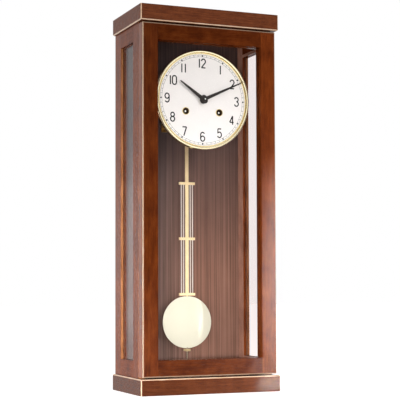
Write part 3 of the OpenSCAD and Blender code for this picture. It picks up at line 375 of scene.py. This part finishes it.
# door's bottom rail: lighter toward the right with a coat there, painted light and sheen
walnutLow = woodFinish("walnutLow", "x", shade=0.54, gloss=0.10,
                       paintedLight=("X", 1, 0.03, 0.14, 1.15, 0.5))
walnutDeep = woodFinish("walnutDeep", "y")
slabGrain = {**slabTones, "figure": 620, "stretch": 0.07, "mix": (0.46, 0.20, 0.34),
             "open": 0.56, "ink": 0.6}
walnutCrown = woodFinish("walnutCrown", "xy", slabGrain, shade=1.15)
# base: lighter toward the right with a coat there, painted light and sheen
walnutBase = woodFinish("walnutBase", "xy", slabGrain, shade=0.72, gloss=0.08,
                        paintedLight=("X", 1, 0.02, 0.14, 1.30, 0.35))


# back board: veneer with fine upright streaks, painted shade darker toward the top, painted shade
# and reflection haze greyer toward the left;
# warm and down are (edge, soft), where the painted grey haze and where the painted dark shade
# give way
board = {**walnut, **backTones, "figure": 400, "stretch": 0.006, "mix": (0.86, 0.10, 0.04),
         "relief": 0.002, "open": 0.70, "ink": 0.15, "rough": 0.34, "gloss": 0.02,
         "warm": (-0.01, 0.07), "down": (0.23, 0.26), "dark": (0.052, 0.045, 0.050),
         "least": 0.37, "more": 0.76}


def backFinish():
    back = Finish("walnutBack")
    colour, rough, relief = woodSkin(back, "z", board)
    # the left part takes the greyer tones: painted shade and reflection haze
    grey = woodSkin(back, "z", {**board, **hazeShadeTones})[0]
    colour = back.blend(back.axis("X").above(*board["warm"]), grey, colour)
    # painted shade: a dark grey mixed in, most toward the top
    down = (back.axis("Z") * -1).above(*board["down"]) * board["more"] + board["least"]
    colour = back.blend(down, board["dark"], colour)
    return back.surface({"Base Color": colour, "Roughness": rough,
                         "Specular IOR Level": board["gloss"], "Normal": relief})


walnutBack = backFinish()


# the light strip shows only where its corner is bevelled through the stain
edging = {**walnut, **mapleTones, "flat": (0.80, 0.06), "stain": 700, "gloss": 0.2}


def stripFinish(name, shade):
    strip = Finish(name)
    maple, rough, relief = woodSkin(strip, "x", {**edging, "shade": shade})
    across, ahead, up = (strip.axis(axis, "Normal").size() for axis in "XYZ")
    flat = across.most(ahead).most(up).above(*edging["flat"])
    cloud = strip.noise(strip.place(), edging["stain"], detail=3, rough=0.6)
    stain = strip.ramp(cloud, (0.3, slabTones["deep"]), (0.6, slabTones["light"]))
    return strip.surface({"Base Color": strip.blend(flat, maple, stain), "Roughness": rough,
                          "Specular IOR Level": edging["gloss"], "Normal": relief})


caseStrip = stripFinish("caseStrip", 0.95)
# the door's strip is a darker copy of the case's: painted shade
doorStrip = stripFinish("doorStrip", 0.62)


def paneFinish(name, edge, clear, soft):  # clear when seen square on, a mirror when seen aslant
    glass = Finish(name)
    slant = glass.add("LayerWeight", None, {"Blend": 0.5}, out="Facing")
    share = slant ** 5 * edge
    through = glass.add("BsdfTransparent", None, {"Color": (*clear, 1)})
    mirror = glass.add("BsdfGlossy", None, {"Color": (1, 1, 1, 1), "Roughness": soft})
    return glass.close(glass.add("MixShader", None, {0: share, 1: through, 2: mirror}))


doorGlass = paneFinish("doorGlass", edge=0.9, clear=(0.985, 0.985, 0.985), soft=0.03)
sideGlass = paneFinish("sideGlass", edge=0.6, clear=(0.985, 0.945, 0.94), soft=0.15)

# metal: a cloudy tint and fine hairlines; paintedLight is (edge, soft, tone), a tone painted
# toward the lower right for how light falls there
hairlines = {"brushed": 6000, "plain": 2500, "press": 0.4, "cloudRough": 0.1,
             "hairRough": 0.06, "middle": 0.08}


def metalFinish(name, colour, rough, worn=0.12, scale=120, brushed=None, lines=0.004,
                shiny=1.0, gloss=0.5, paintedLight=None):
    metal = Finish(name)
    cloud = metal.noise(metal.place(), scale, detail=4, rough=0.6)
    tint = metal.ramp(cloud, (0.3, dimmed(colour, 1 - worn)), (0.7, colour))
    if paintedLight:
        edge, soft, tone = paintedLight
        toward = (metal.axis("X") - metal.axis("Z")).above(edge, soft)
        tint = metal.toned(tint, toward, tone)
    fine = hairlines["brushed" if brushed else "plain"]
    hair = metal.noise(metal.place(brushed or (1, 1, 1)), fine)
    smooth = rough - hairlines["middle"]
    uneven = cloud * hairlines["cloudRough"] + hair * hairlines["hairRough"] + smooth
    return metal.surface({"Base Color": tint, "Metallic": shiny, "Roughness": uneven,
                          "Specular IOR Level": gloss,
                          "Normal": metal.bump(hair, lines * mm, hairlines["press"])})


bezelBrass = metalFinish("bezelBrass", (0.97, 0.86, 0.58), 0.10, worn=0.05)
# the rod is painted lighter toward its foot: painted light
rodBrass = metalFinish("rodBrass", (0.80, 0.62, 0.36), 0.34, brushed=(1, 1, 0.03), shiny=0.45,
                       gloss=0.2, paintedLight=(0.22, 0.20, 1.20))
# the bob is painted a shade darker toward its lower right: a painted reflection edge
bobBrass = metalFinish("bobBrass", (0.610, 0.582, 0.462), 0.40, worn=0.01, shiny=0.08,
                       gloss=0.02, paintedLight=(0.385, 0.05, 0.98))
plateBrass = metalFinish("plateBrass", (0.60, 0.40, 0.15), 0.34, brushed=(0.03, 1, 1))
wheelBrass = metalFinish("wheelBrass", (0.84, 0.62, 0.27), 0.22)
brightSteel = metalFinish("brightSteel", (0.78, 0.77, 0.75), 0.18)
nutBrass = metalFinish("nutBrass", (0.66, 0.50, 0.27), 0.30, shiny=0.6, gloss=0.3)
threadSteel = metalFinish("threadSteel", (0.36, 0.30, 0.22), 0.40, shiny=0.5, gloss=0.2)
rodSteel = metalFinish("rodSteel", (0.68, 0.61, 0.56), 0.36, worn=0.08, lines=0.001, shiny=0.5,
                       gloss=0.2)
zincSteel = metalFinish("zincSteel", (0.62, 0.62, 0.60), 0.38, worn=0.25, scale=300)
bellSteel = metalFinish("bellSteel", (0.70, 0.62, 0.48), 0.25)


# small turned parts, bright in one place and dark in the rest: a painted highlight dot, and
# painted shade in the winding holes
smallMetal = {"shiny": 0.6, "gloss": 0.2, "relief": 0.01, "press": 0.3, "dotSoft": 0.2 * mm,
              "frontSlack": 0.1 * mm, "frontSoft": 0.05 * mm, "rimSoft": 0.15 * mm}


def partBright(metal, bright, where, deep, pale, scale, uneven, rough):
    cloud = metal.noise(metal.place(), scale, detail=3, rough=0.6)
    dark = metal.ramp(cloud, (0.3, deep), (0.7, pale))
    relief = metal.bump(cloud, smallMetal["relief"] * mm, smallMetal["press"])
    return metal.surface({"Base Color": metal.blend(where, dark, bright),
                          "Metallic": where * smallMetal["shiny"],
                          "Roughness": cloud * uneven + rough,
                          "Specular IOR Level": smallMetal["gloss"], "Normal": relief})


def darkTipped(name, middles, front, dot, bright, deep, pale):  # a pale dot amid its front end, a painted highlight; dark in the rest
    steel = Finish(name)
    glintDot = (steel.near(middles) * -1).above(-dot, smallMetal["dotSoft"])
    ahead = steel.axis("Y") * -1
    ahead = ahead.above(-front - smallMetal["frontSlack"], smallMetal["frontSoft"])
    return partBright(steel, bright, glintDot * ahead, deep, pale, scale=400, uneven=0.15,
                      rough=0.3)


def rimmed(name, middles, reach, inside, rim):  # brass outside the reach, painted dark brown inside it as shade in the hole
    brass = Finish(name)
    outside = brass.near(middles).above(reach, smallMetal["rimSoft"])
    return partBright(brass, rim, outside, dimmed(inside, 0.7), inside, scale=500, uneven=0.1,
                      rough=0.25)


windings = [middleOf("time_winding_arbor"), middleOf("strike_winding_arbor")]
# winding arbors: dark brown, painted shade in the winding holes, with a pale dot at each front
# end, a painted highlight
arborShadeGlint = darkTipped("arborShadeGlint", windings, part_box("time_winding_arbor")[0].y, 1.25 * mm,
                        (0.95, 0.92, 0.86), (0.022, 0.011, 0.006), (0.045, 0.024, 0.013))
# hands' nut: black, with a pale dot in its middle, a painted highlight
nutBlack = darkTipped("nutBlack", [middleOf("hand_nut")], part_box("hand_nut")[0].y + 0.3 * mm,
                      0.95 * mm, (0.92, 0.90, 0.87), (0.014, 0.011, 0.010),
                      (0.026, 0.020, 0.017))
# winding grommets: brass rims, their bores painted dark brown as shade in the holes
holeBrass = rimmed("holeBrass", windings, 4.95 * mm, (0.078, 0.030, 0.010), (0.86, 0.68, 0.34))

# lacquer and ink: a fine grain and a faint cloud; paintedLight is (edge, soft, tone), a lighter
# tone painted toward the top against the shade there
lacquerSkin = {"grain": 900, "cloud": 60, "dim": 0.94, "uneven": 0.1, "relief": 0.01,
               "press": 0.3}


def lacquerFinish(name, colour, rough, shine=0.5, paintedLight=None):
    lacquer = Finish(name)
    grain = lacquer.noise(lacquer.place(), lacquerSkin["grain"], detail=3, rough=0.6)
    cloud = lacquer.noise(lacquer.place(), lacquerSkin["cloud"], detail=3)
    dim = dimmed(colour, lacquerSkin["dim"])
    shade = lacquer.ramp(grain * 0.5 + cloud * 0.5, (0.3, dim), (0.7, colour))
    if paintedLight:
        edge, soft, tone = paintedLight
        shade = lacquer.toned(shade, lacquer.axis("Z").above(edge, soft), tone)
    uneven = grain * lacquerSkin["uneven"] + (rough - lacquerSkin["uneven"] / 2)
    relief = lacquer.bump(grain, lacquerSkin["relief"] * mm, lacquerSkin["press"])
    return lacquer.surface({"Base Color": shade, "Roughness": uneven,
                            "Specular IOR Level": shine, "Normal": relief})


# the dial is painted lighter toward its top: painted light against the shade under the crown
dialEnamel = lacquerFinish("dialEnamel", (0.88, 0.835, 0.805), 0.45, 0.3,
                           paintedLight=(0.012, 0.04, 1.13))
dialInk = lacquerFinish("dialInk", (0.012, 0.012, 0.013), 0.6, 0.1)
trackInk = lacquerFinish("trackInk", (0.11, 0.105, 0.11), 0.6, 0.1)
handBlack = lacquerFinish("handBlack", (0.022, 0.017, 0.015), 0.42, 0.3)
magnetPlastic = lacquerFinish("magnetPlastic", (0.10, 0.055, 0.035), 0.45)
print("finishes mixed")


def fitPiece(name, shape, finish, body, standsFor=(), smoothTo=35):
    for face in shape.faces:
        face.smooth = True
    for edge in shape.edges:
        edge.smooth = edge.is_manifold and edge.calc_face_angle(0) < math.radians(smoothTo)
    mesh = bpy.data.meshes.new(name)
    shape.to_mesh(mesh)
    shape.free()
    mesh.materials.append(finish)
    piece = bpy.data.objects.new(name, mesh)
    bpy.context.scene.collection.objects.link(piece)
    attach(piece, body)
    if standsFor:
        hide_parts(*standsFor)
    return piece


def takeIn(shape, part):  # the part joins the shape
    loose = bpy.data.meshes.new("loose")
    part.to_mesh(loose)
    shape.from_mesh(loose)
    bpy.data.meshes.remove(loose)
    part.free()


easing = {"weld": 1e-6, "flat": math.radians(0.5), "corner": math.radians(20), "segments": 2}


# a solid with its edges rounded; broaden is (middle, turn, share), wider across a hand
def eased(node, name, finish, body, width, smoothTo=1, broaden=None):
    shape = bmesh.new()
    shape.from_mesh(solids[node].data)
    bmesh.ops.remove_doubles(shape, verts=shape.verts, dist=easing["weld"])
    bmesh.ops.dissolve_limit(shape, angle_limit=easing["flat"], verts=shape.verts,
                             edges=shape.edges)
    if width:
        corners = [edge for edge in shape.edges
                   if edge.is_manifold and edge.calc_face_angle(0) > easing["corner"]]
        bmesh.ops.bevel(shape, geom=corners, affect="EDGES", offset=width,
                        offset_type="OFFSET", segments=easing["segments"], profile=0.5,
                        material=-1, clamp_overlap=True)
    if broaden:
        middle, turn, share = broaden
        upright = Matrix.Rotation(math.radians(-turn), 4, "Y") @ Matrix.Translation(-middle)
        bmesh.ops.scale(shape, verts=shape.verts, vec=(share, 1, 1), space=upright)
    return fitPiece(name, shape, finish, body, (node,), smoothTo)


# case and door timber
timber = {"ease": 0.35 * mm, "stripEase": 0.25 * mm}
members = [  # solid, piece, finish, slot, body
    ("crown", "crownSlab", walnutCrown, "walnut", "case"),
    ("base", "baseSlab", walnutBase, "walnut", "case"),
    ("left_stiles", "leftStiles", walnutSide, "walnut", "case"),
    ("right_stiles", "rightStiles", walnutUp, "walnut", "case"),
    ("left_rails", "leftRails", walnutDeep, "walnut", "case"),
    ("right_rails", "rightRails", walnutDeep, "walnut", "case"),
    ("side_beads", "sideBeads", walnutInner, "walnut", "case"),
    ("back_board", "backBoard", walnutBack, "back_panel", "case"),
    ("door_left_stile", "doorLeftStile", walnutLeft, "walnut", "door"),
    ("door_right_stile", "doorRightStile", walnutRight, "walnut", "door"),
    ("door_top_rail", "doorTopRail", walnutTop, "walnut", "door"),
    ("door_bottom_rail", "doorBottomRail", walnutLow, "walnut", "door"),
    ("door_beads", "doorBeads", walnutBead, "walnut", "door"),
]
for node, name, finish, slotName, body in members:
    eased(node, name, finish, body, timber["ease"])
eased("case_edging", "caseEdging", caseStrip, "case", timber["stripEase"])
eased("door_edging", "doorEdging", doorStrip, "door", timber["stripEase"])
print("timber eased")


def turned(profile, middle, steps, around="y", closed=True):
    # a lathe: profile is (radius, distance forward), or (radius, height) around z
    shape = bmesh.new()
    if around == "y":
        ring = [shape.verts.new((middle[0] + r, -d, middle[2])) for r, d in profile]
        axis = (0, 1, 0)
    else:
        ring = [shape.verts.new((middle[0] + r, middle[1], d)) for r, d in profile]
        axis = (0, 0, 1)
    ends = ring[1:] + (ring[:1] if closed else [])
    edges = [shape.edges.new(pair) for pair in zip(ring, ends)]
    bmesh.ops.spin(shape, geom=ring + edges, cent=middle, axis=axis, angle=math.tau,
                   steps=steps, use_merge=True)
    bmesh.ops.remove_doubles(shape, verts=shape.verts, dist=1e-7)
    bmesh.ops.recalc_face_normals(shape, faces=shape.faces)
    return shape


def metres(profile):
    return [(r * mm, d * mm) for r, d in profile]


def arc(across, up, wide, tall, start, stop, steps=14):  # part of an oval, angles in degrees
    turns = [math.radians(start + (stop - start) * i / steps) for i in range(steps + 1)]
    return [(across + wide * math.cos(t), up + tall * math.sin(t)) for t in turns]


dialMiddle = middleOf("dial_plate", "y")
dialFace = -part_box("dial_plate")[0].y  # how far its face stands in front of the wall

# bezel: a round bead outside, a groove, a fine bead against the dial, a thin skirt behind
bezel = {"outer": 75.5, "inner": 69.5, "bead": 1.9, "rise": 4.0, "fine": 0.7, "fineRise": 1.9,
         "groove": 0.1, "grooveEase": 0.2, "skirt": 4.5, "wall": 1.0, "steps": 192}


def makeBezel():
    face = dialFace / mm
    fine, bead, ease = bezel["fine"], bezel["bead"], bezel["grooveEase"]
    fineMiddle, beadMiddle = bezel["inner"] + fine, bezel["outer"] - bead
    floor, behind = face + bezel["groove"], face - bezel["skirt"]
    skirtInside = bezel["outer"] - bezel["wall"]
    profile = [(bezel["inner"], face)]
    profile += arc(fineMiddle, face + bezel["fineRise"] - fine, fine, fine, 180, 0, steps=10)
    profile += [(fineMiddle + fine + ease, floor), (beadMiddle - bead - ease, floor)]
    profile += arc(beadMiddle, face + bezel["rise"] - bead, bead, bead, 180, 0, steps=18)
    profile += [(bezel["outer"], behind), (skirtInside, behind), (skirtInside, face)]
    shape = turned(metres(profile), dialMiddle, bezel["steps"])
    fitPiece("bezel", shape, bezelBrass, "case", ("dial_bezel",),
             smoothTo=25)


makeBezel()

# minute track: two fine rings, a dot for each hour and a stroke for each minute between
track = {"rings": (65.4, 68.2), "line": 0.38, "stroke": 0.55, "ink": 0.02, "steps": 144,
         "dot": 1.2, "dotTop": 0.9, "dotSides": 20, "dotCircle": 66.8}


def makeTrack():
    lines, dots = bmesh.new(), bmesh.new()
    ink, half = track["ink"] * mm, track["line"] / 2
    inner, outer = track["rings"]
    corners = ((-half, 0), (half, 0), (half, ink), (-half, ink))
    for radius in track["rings"]:
        profile = [((radius + r) * mm, dialFace + d) for r, d in corners]
        takeIn(lines, turned(profile, dialMiddle, track["steps"]))

    def spot(minute, forward, circle):  # a place on the dial, turned to the minute
        turn = Matrix.Rotation(math.radians(6 * minute), 4, "Y")
        out = Matrix.Translation((0, -dialFace - forward, circle * mm))
        return Matrix.Translation(dialMiddle) @ turn @ out

    stroke = Matrix.Diagonal((track["stroke"] * mm, ink, (outer - inner) * mm, 1))
    lie = Matrix.Rotation(math.radians(90), 4, "X")
    for minute in range(60):
        if minute % 5:
            place = spot(minute, ink / 2, (inner + outer) / 2)
            bmesh.ops.create_cube(lines, size=1, matrix=place @ stroke)
        else:
            place = spot(minute, ink, track["dotCircle"])
            bmesh.ops.create_cone(dots, cap_ends=True, segments=track["dotSides"],
                                  radius1=track["dot"] * mm,
                                  radius2=track["dot"] * track["dotTop"] * mm,
                                  depth=2 * ink, matrix=place @ lie)
    fitPiece("minuteTrack", lines, trackInk, "case")
    fitPiece("hourDots", dots, dialInk, "case")


makeTrack()

# numbers drawn with one round stroke; nudge moves each off its circle, in millimetres
numbers = {"circle": 56.0, "tall": 15.2, "wide": 8.4, "stroke": 1.9, "gap": 1.4, "ink": 0.03,
           "elevenGap": 2.4,
           "nudge": {1: (1.5, -1.2), 2: (0.4, -1.4), 4: (-0.6, -0.7), 5: (-0.4, -0.9),
                     7: (-1.4, -0.5), 9: (-1.2, 0.4), 10: (1.5, -0.5), 11: (-2.6, -2.0),
                     12: (0, -0.4)}}
strokes = {  # paths in a digit's own box, 1 wide and 1 tall, and whether each closes
    "0": [(arc(0.5, 0.72, 0.5, 0.28, 0, 180) + arc(0.5, 0.28, 0.5, 0.28, 180, 360), True)],
    "1": [([(0, 0), (0, 1)], False)],
    "2": [(arc(0.5, 0.72, 0.5, 0.28, 172, -28) + [(0, 0.012)], False), ([(0, 0), (1, 0)], False)],
    "3": [(arc(0.5, 0.76, 0.45, 0.24, 165, -90), False),
          (arc(0.5, 0.26, 0.5, 0.26, 90, -168), False)],
    "4": [([(0.74, 0), (0.74, 1)], False), ([(0.74, 1), (0, 0.27)], False),
          ([(0, 0.27), (1, 0.27)], False)],
    "5": [([(0.92, 1), (0.13, 1)], False),
          ([(0.13, 1), (0.06, 0.53)] + arc(0.48, 0.32, 0.52, 0.32, 138, -155), False)],
    "6": [(arc(0.5, 0.72, 0.5, 0.28, 28, 180) + arc(0.5, 0.29, 0.5, 0.29, 180, 540, 28), False)],
    "7": [([(0, 1), (1, 1)], False), ([(1, 1), (0.34, 0)], False)],
    "8": [(arc(0.5, 0.765, 0.43, 0.235, 0, 352, 22), True),
          (arc(0.5, 0.27, 0.5, 0.27, 0, 352, 24), True)],
}
strokes["9"] = [([(1 - x, 1 - y) for x, y in path], closed) for path, closed in strokes["6"]]


def numberPaths():
    paths = []
    wide, tall = numbers["wide"] - numbers["stroke"], numbers["tall"] - numbers["stroke"]
    for hour in range(1, 13):
        digits = [(strokes[d], 0 if d == "1" else wide) for d in str(hour)]
        gap = numbers["gap"] + numbers["stroke"] + (numbers["elevenGap"] if hour == 11 else 0)
        whole = sum(w for _, w in digits) + (len(digits) - 1) * gap
        turn = math.radians(30 * hour)
        aside, above = numbers["nudge"].get(hour, (0, 0))
        left = numbers["circle"] * math.sin(turn) - whole / 2 + aside
        low = numbers["circle"] * math.cos(turn) - tall / 2 + above
        for lines, width in digits:
            for path, closed in lines:
                points = [(left + x * width, low + y * tall) for x, y in path]
                paths.append((points, closed))
            left += width + gap
    return paths


def makeNumbers():
    drawing = bpy.data.curves.new("numbers", "CURVE")
    drawing.dimensions = "3D"
    drawing.bevel_depth = numbers["stroke"] / 2 * mm
    drawing.bevel_resolution = 2
    drawing.use_fill_caps = True
    for path, closed in numberPaths():
        line = drawing.splines.new("POLY")
        line.points.add(len(path) - 1)
        line.use_cyclic_u = closed
        for point, (x, z) in zip(line.points, path):
            point.co = (x * mm, 0, z * mm, 1)
    sketch = bpy.data.objects.new("numbersSketch", drawing)
    mesh = bpy.data.meshes.new_from_object(sketch)
    bpy.data.objects.remove(sketch)
    shape = bmesh.new()
    shape.from_mesh(mesh)
    bpy.data.meshes.remove(mesh)
    thin = 2 * numbers["ink"] / numbers["stroke"]
    bmesh.ops.scale(shape, verts=shape.verts, vec=(1, thin, 1))
    onDial = dialMiddle - Vector((0, dialFace, 0))
    bmesh.ops.translate(shape, verts=shape.verts, vec=onDial)
    fitPiece("dialNumbers", shape, dialInk, "case", smoothTo=80)


makeNumbers()
print("dial printed")

# hands, broadened across and not along; the hour hand's turn from twelve is in degrees
hands = {"hourTurn": 305.425, "minuteBroader": 1.35, "hourBroader": 1.15, "ease": 0.12 * mm,
         "smoothTo": 30}
for node, name, body, turn, share in (
        ("minute_hand", "minuteHand", "centre_arbor", 12 * hands["hourTurn"],
         hands["minuteBroader"]),
        ("hour_hand", "hourHand", "hour_pipe", hands["hourTurn"], hands["hourBroader"])):
    eased(node, name, handBlack, body, hands["ease"], hands["smoothTo"],
          (dialMiddle, turn, share))

# the hands' nut, capped in front of the arbor's tip, with a pale dot in its middle as a painted
# highlight
handNut = {"outer": 3.0, "bore": 0.8, "round": 0.9, "shelf": 0.3, "neck": 0.45, "crown": 0.8,
           "crownDrop": 0.3, "skin": 0.05, "steps": 64}


def makeNut():
    low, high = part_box("hand_nut")
    front, back = -low.y / mm, -high.y / mm
    bore, outer, ease, skin = (handNut[key] for key in ("bore", "outer", "round", "skin"))
    tip = -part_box("centre_wheel")[0].y / mm + skin
    top = outer - ease
    profile = [(bore, back), (outer, back)]
    profile += arc(top, front - ease, ease, ease, 0, 90, steps=6)
    profile += [(top - handNut["shelf"], front),
                (top - handNut["neck"], tip - handNut["crownDrop"]),
                (top - handNut["crown"], tip), (0, tip), (0, tip - skin), (bore, tip - skin)]
    shape = turned(metres(profile), dialMiddle, handNut["steps"])
    fitPiece("handNut", shape, nutBlack, "centre_arbor", ("hand_nut",),
             smoothTo=40)


# winding grommets: outer is the solid's radius, wide is the flange's
grommet = {"outer": 5.25, "wide": 5.8, "neck": 4.45, "bore": 4.35, "flange": 0.8,
           "depth": 1.0, "round": 0.4, "steps": 64}


def makeGrommets():
    low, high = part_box("winding_grommets")
    front = -low.y / mm
    under = front - grommet["flange"]
    back = under - grommet["depth"]
    neck, outer, bore, ease = (grommet[key] for key in ("neck", "wide", "bore", "round"))
    profile = [(bore, back), (neck, back), (neck, under), (outer, under)]
    profile += arc(outer - ease, front - ease, ease, ease, 0, 90, steps=5)
    profile += arc(bore + ease, front - ease, ease, ease, 90, 180, steps=5)
    apart = (high.x - low.x) / 2 - grommet["outer"] * mm
    shape = bmesh.new()
    for side in (-1, 1):
        spot = Vector((side * apart, 0, (low.z + high.z) / 2))
        takeIn(shape, turned(metres(profile), spot, grommet["steps"]))
    fitPiece("windingGrommets", shape, holeBrass, "case",
             ("winding_grommets",), smoothTo=40)


makeNut()
makeGrommets()
print("hands and winding holes fitted")

# pendulum: a thin brass lens on its rod, and the knurled nut under it
bob = {"radius": 40.0, "front": 6.5, "back": 4.0, "rim": 1.2, "bore": 1.3, "boreSides": 32,
       "steps": 192, "rings": 18}


def makeBob():
    middle = middleOf("bob", "y")
    plane = -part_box("bob")[0].y / mm - bob["front"] - bob["rim"] / 2
    profile = []
    for depth, sign in ((bob["front"], 1), (bob["back"], -1)):
        sweep = (bob["radius"] ** 2 + depth ** 2) / (2 * depth)
        edge = math.asin(bob["radius"] / sweep)
        peak = bob["rim"] / 2 + depth
        steps = [edge * i / bob["rings"] for i in range(bob["rings"] + 1)]
        side = [(sweep * math.sin(t), plane + sign * (peak - sweep * (1 - math.cos(t))))
                for t in steps]
        profile += side if sign > 0 else side[::-1]
    shape = turned(metres(profile), middle, bob["steps"], closed=False)
    drill = bmesh.new()
    bore = bob["bore"] * mm
    bmesh.ops.create_cone(drill, cap_ends=True, segments=bob["boreSides"], radius1=bore,
                          radius2=bore, depth=3 * bob["radius"] * mm,
                          matrix=Matrix.Translation((middle.x, -plane * mm, middle.z)))
    mesh = bpy.data.meshes.new("drill")
    drill.to_mesh(mesh)
    drill.free()
    cutter = bpy.data.objects.new("drill", mesh)
    bpy.context.scene.collection.objects.link(cutter)
    piece = fitPiece("bobLens", shape, bobBrass, "bob", ("bob",),
                     smoothTo=30)
    cut = piece.modifiers.new("bore", "BOOLEAN")
    cut.object, cut.operation, cut.solver = cutter, "DIFFERENCE", "EXACT"
    live = bpy.context.evaluated_depsgraph_get()
    bored = bpy.data.meshes.new_from_object(piece.evaluated_get(live))
    piece.modifiers.clear()
    piece.data = bored
    bpy.data.objects.remove(cutter)


makeBob()

# the brass rod ends inside the bob; a steel thread goes on from there, through the nut
rodPiece = {"ease": 0.2 * mm, "smoothTo": 30, "inside": 6.0 * mm}
thread = {"outer": 1.25 * mm, "root": 0.95 * mm, "pitch": 0.8 * mm, "crest": (0.45, 0.55),
          "end": 0.2 * mm, "steps": 24, "coreSteps": 32}


def makeRod():
    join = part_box("bob")[0].z + rodPiece["inside"]
    rod = eased("pendulum_rod", "pendulumRod", rodBrass, "pendulum",
                rodPiece["ease"], rodPiece["smoothTo"])
    shape = bmesh.new()
    shape.from_mesh(rod.data)
    whole = shape.verts[:] + shape.edges[:] + shape.faces[:]
    bmesh.ops.bisect_plane(shape, geom=whole, dist=1e-7, plane_co=(0, 0, join),
                           plane_no=(0, 0, -1), clear_outer=True)
    bmesh.ops.holes_fill(shape, edges=[e for e in shape.edges if e.is_boundary], sides=0)
    shape.to_mesh(rod.data)
    shape.free()
    makeThread(join)


def makeThread(join):
    middle = middleOf("pendulum_rod", "z")
    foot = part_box("pendulum_rod")[0].z
    root, outer, pitch, end = (thread[key] for key in ("root", "outer", "pitch", "end"))
    profile = [(0, join - end), (root, join - end), (root, foot + end), (root - end, foot),
               (0, foot)]
    core = turned(profile, middle, thread["coreSteps"], "z", closed=False)
    turns = int((join - foot - 2 * end) / pitch) - 1
    ridge = bmesh.new()
    crestLow, crestHigh = (share * pitch for share in thread["crest"])
    rise = [(root - end, 0), (outer, crestLow), (outer, crestHigh), (root - end, pitch)]
    ring = [ridge.verts.new((middle.x + r, middle.y, foot + end + d)) for r, d in rise]
    edges = [ridge.edges.new(pair) for pair in zip(ring, ring[1:] + ring[:1])]
    bmesh.ops.spin(ridge, geom=ring + edges, cent=middle, axis=(0, 0, 1),
                   angle=turns * math.tau, steps=turns * thread["steps"],
                   dvec=(0, 0, pitch / thread["steps"]))
    bmesh.ops.holes_fill(ridge, edges=[e for e in ridge.edges if e.is_boundary], sides=4)
    bmesh.ops.recalc_face_normals(ridge, faces=ridge.faces)
    takeIn(core, ridge)
    fitPiece("pendulumThread", core, threadSteel, "pendulum", smoothTo=40)


makeRod()
eased("pendulum_hook", "pendulumHook", rodBrass, "pendulum", 0,
      rodPiece["smoothTo"])
eased("steel_rods", "steelRods", rodSteel, "pendulum", 0, rodPiece["smoothTo"])

ratingNut = {"outer": 5.6, "bore": 1.3, "notches": 40, "notch": 0.28, "round": 1.3}


def makeRatingNut():
    low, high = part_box("rating_nut")
    middle = middleOf("rating_nut", "z")
    outer, bore, ease = ratingNut["outer"], ratingNut["bore"], ratingNut["round"]
    bottom, top = low.z / mm, high.z / mm
    profile = [(bore, bottom)]
    profile += arc(outer - ease, bottom + ease, ease, ease, -90, 0, steps=5)
    profile += arc(outer - ease, top - ease, ease, ease, 0, 90, steps=5)
    profile += [(bore, top)]
    columns = 2 * ratingNut["notches"]
    shape = turned(metres(profile), middle, columns, "z")
    for vert in shape.verts:  # every second column steps in: the knurl
        reach = Vector((vert.co.x - middle.x, vert.co.y - middle.y, 0))
        column = round(math.atan2(reach.y, reach.x) / math.tau * columns)
        if column % 2 and reach.length > (outer - ease / 2) * mm:
            vert.co -= reach.normalized() * ratingNut["notch"] * mm
    fitPiece("ratingNut", shape, nutBrass, "rating_nut", ("rating_nut",),
             smoothTo=20)


makeRatingNut()
print("pendulum hung")


# the solids that stay as they are, with their finishes
finishOf = {"side_panes": sideGlass, "door_pane": doorGlass}
for names, finish in (
        ("hanger_plate case_screws movement_brackets strike_plate pillar_nuts ratchet_clicks",
         zincSteel),
        ("door_magnet", magnetPlastic),
        ("case_hinge_leaves door_hinge_leaves hinge_pins", bezelBrass),
        ("front_plate back_plate pillars suspension_cock", plateBrass),
        ("centre_wheel cannon_pinion minute_wheel hour_wheel second_wheel third_wheel "
         "escape_wheel time_barrel strike_barrel strike_second_wheel pin_wheel", wheelBrass),
        ("dial_plate", dialEnamel),
        ("time_winding_arbor strike_winding_arbor", arborShadeGlint),
        ("anchor suspension_spring fly hammer", brightSteel),
        ("bell", bellSteel)):
    for node in names.split():
        finishOf[node] = finish
for node, finish in finishOf.items():
    for slot in solids[node].material_slots:
        slot.material = finish
print("movement and fittings finished")
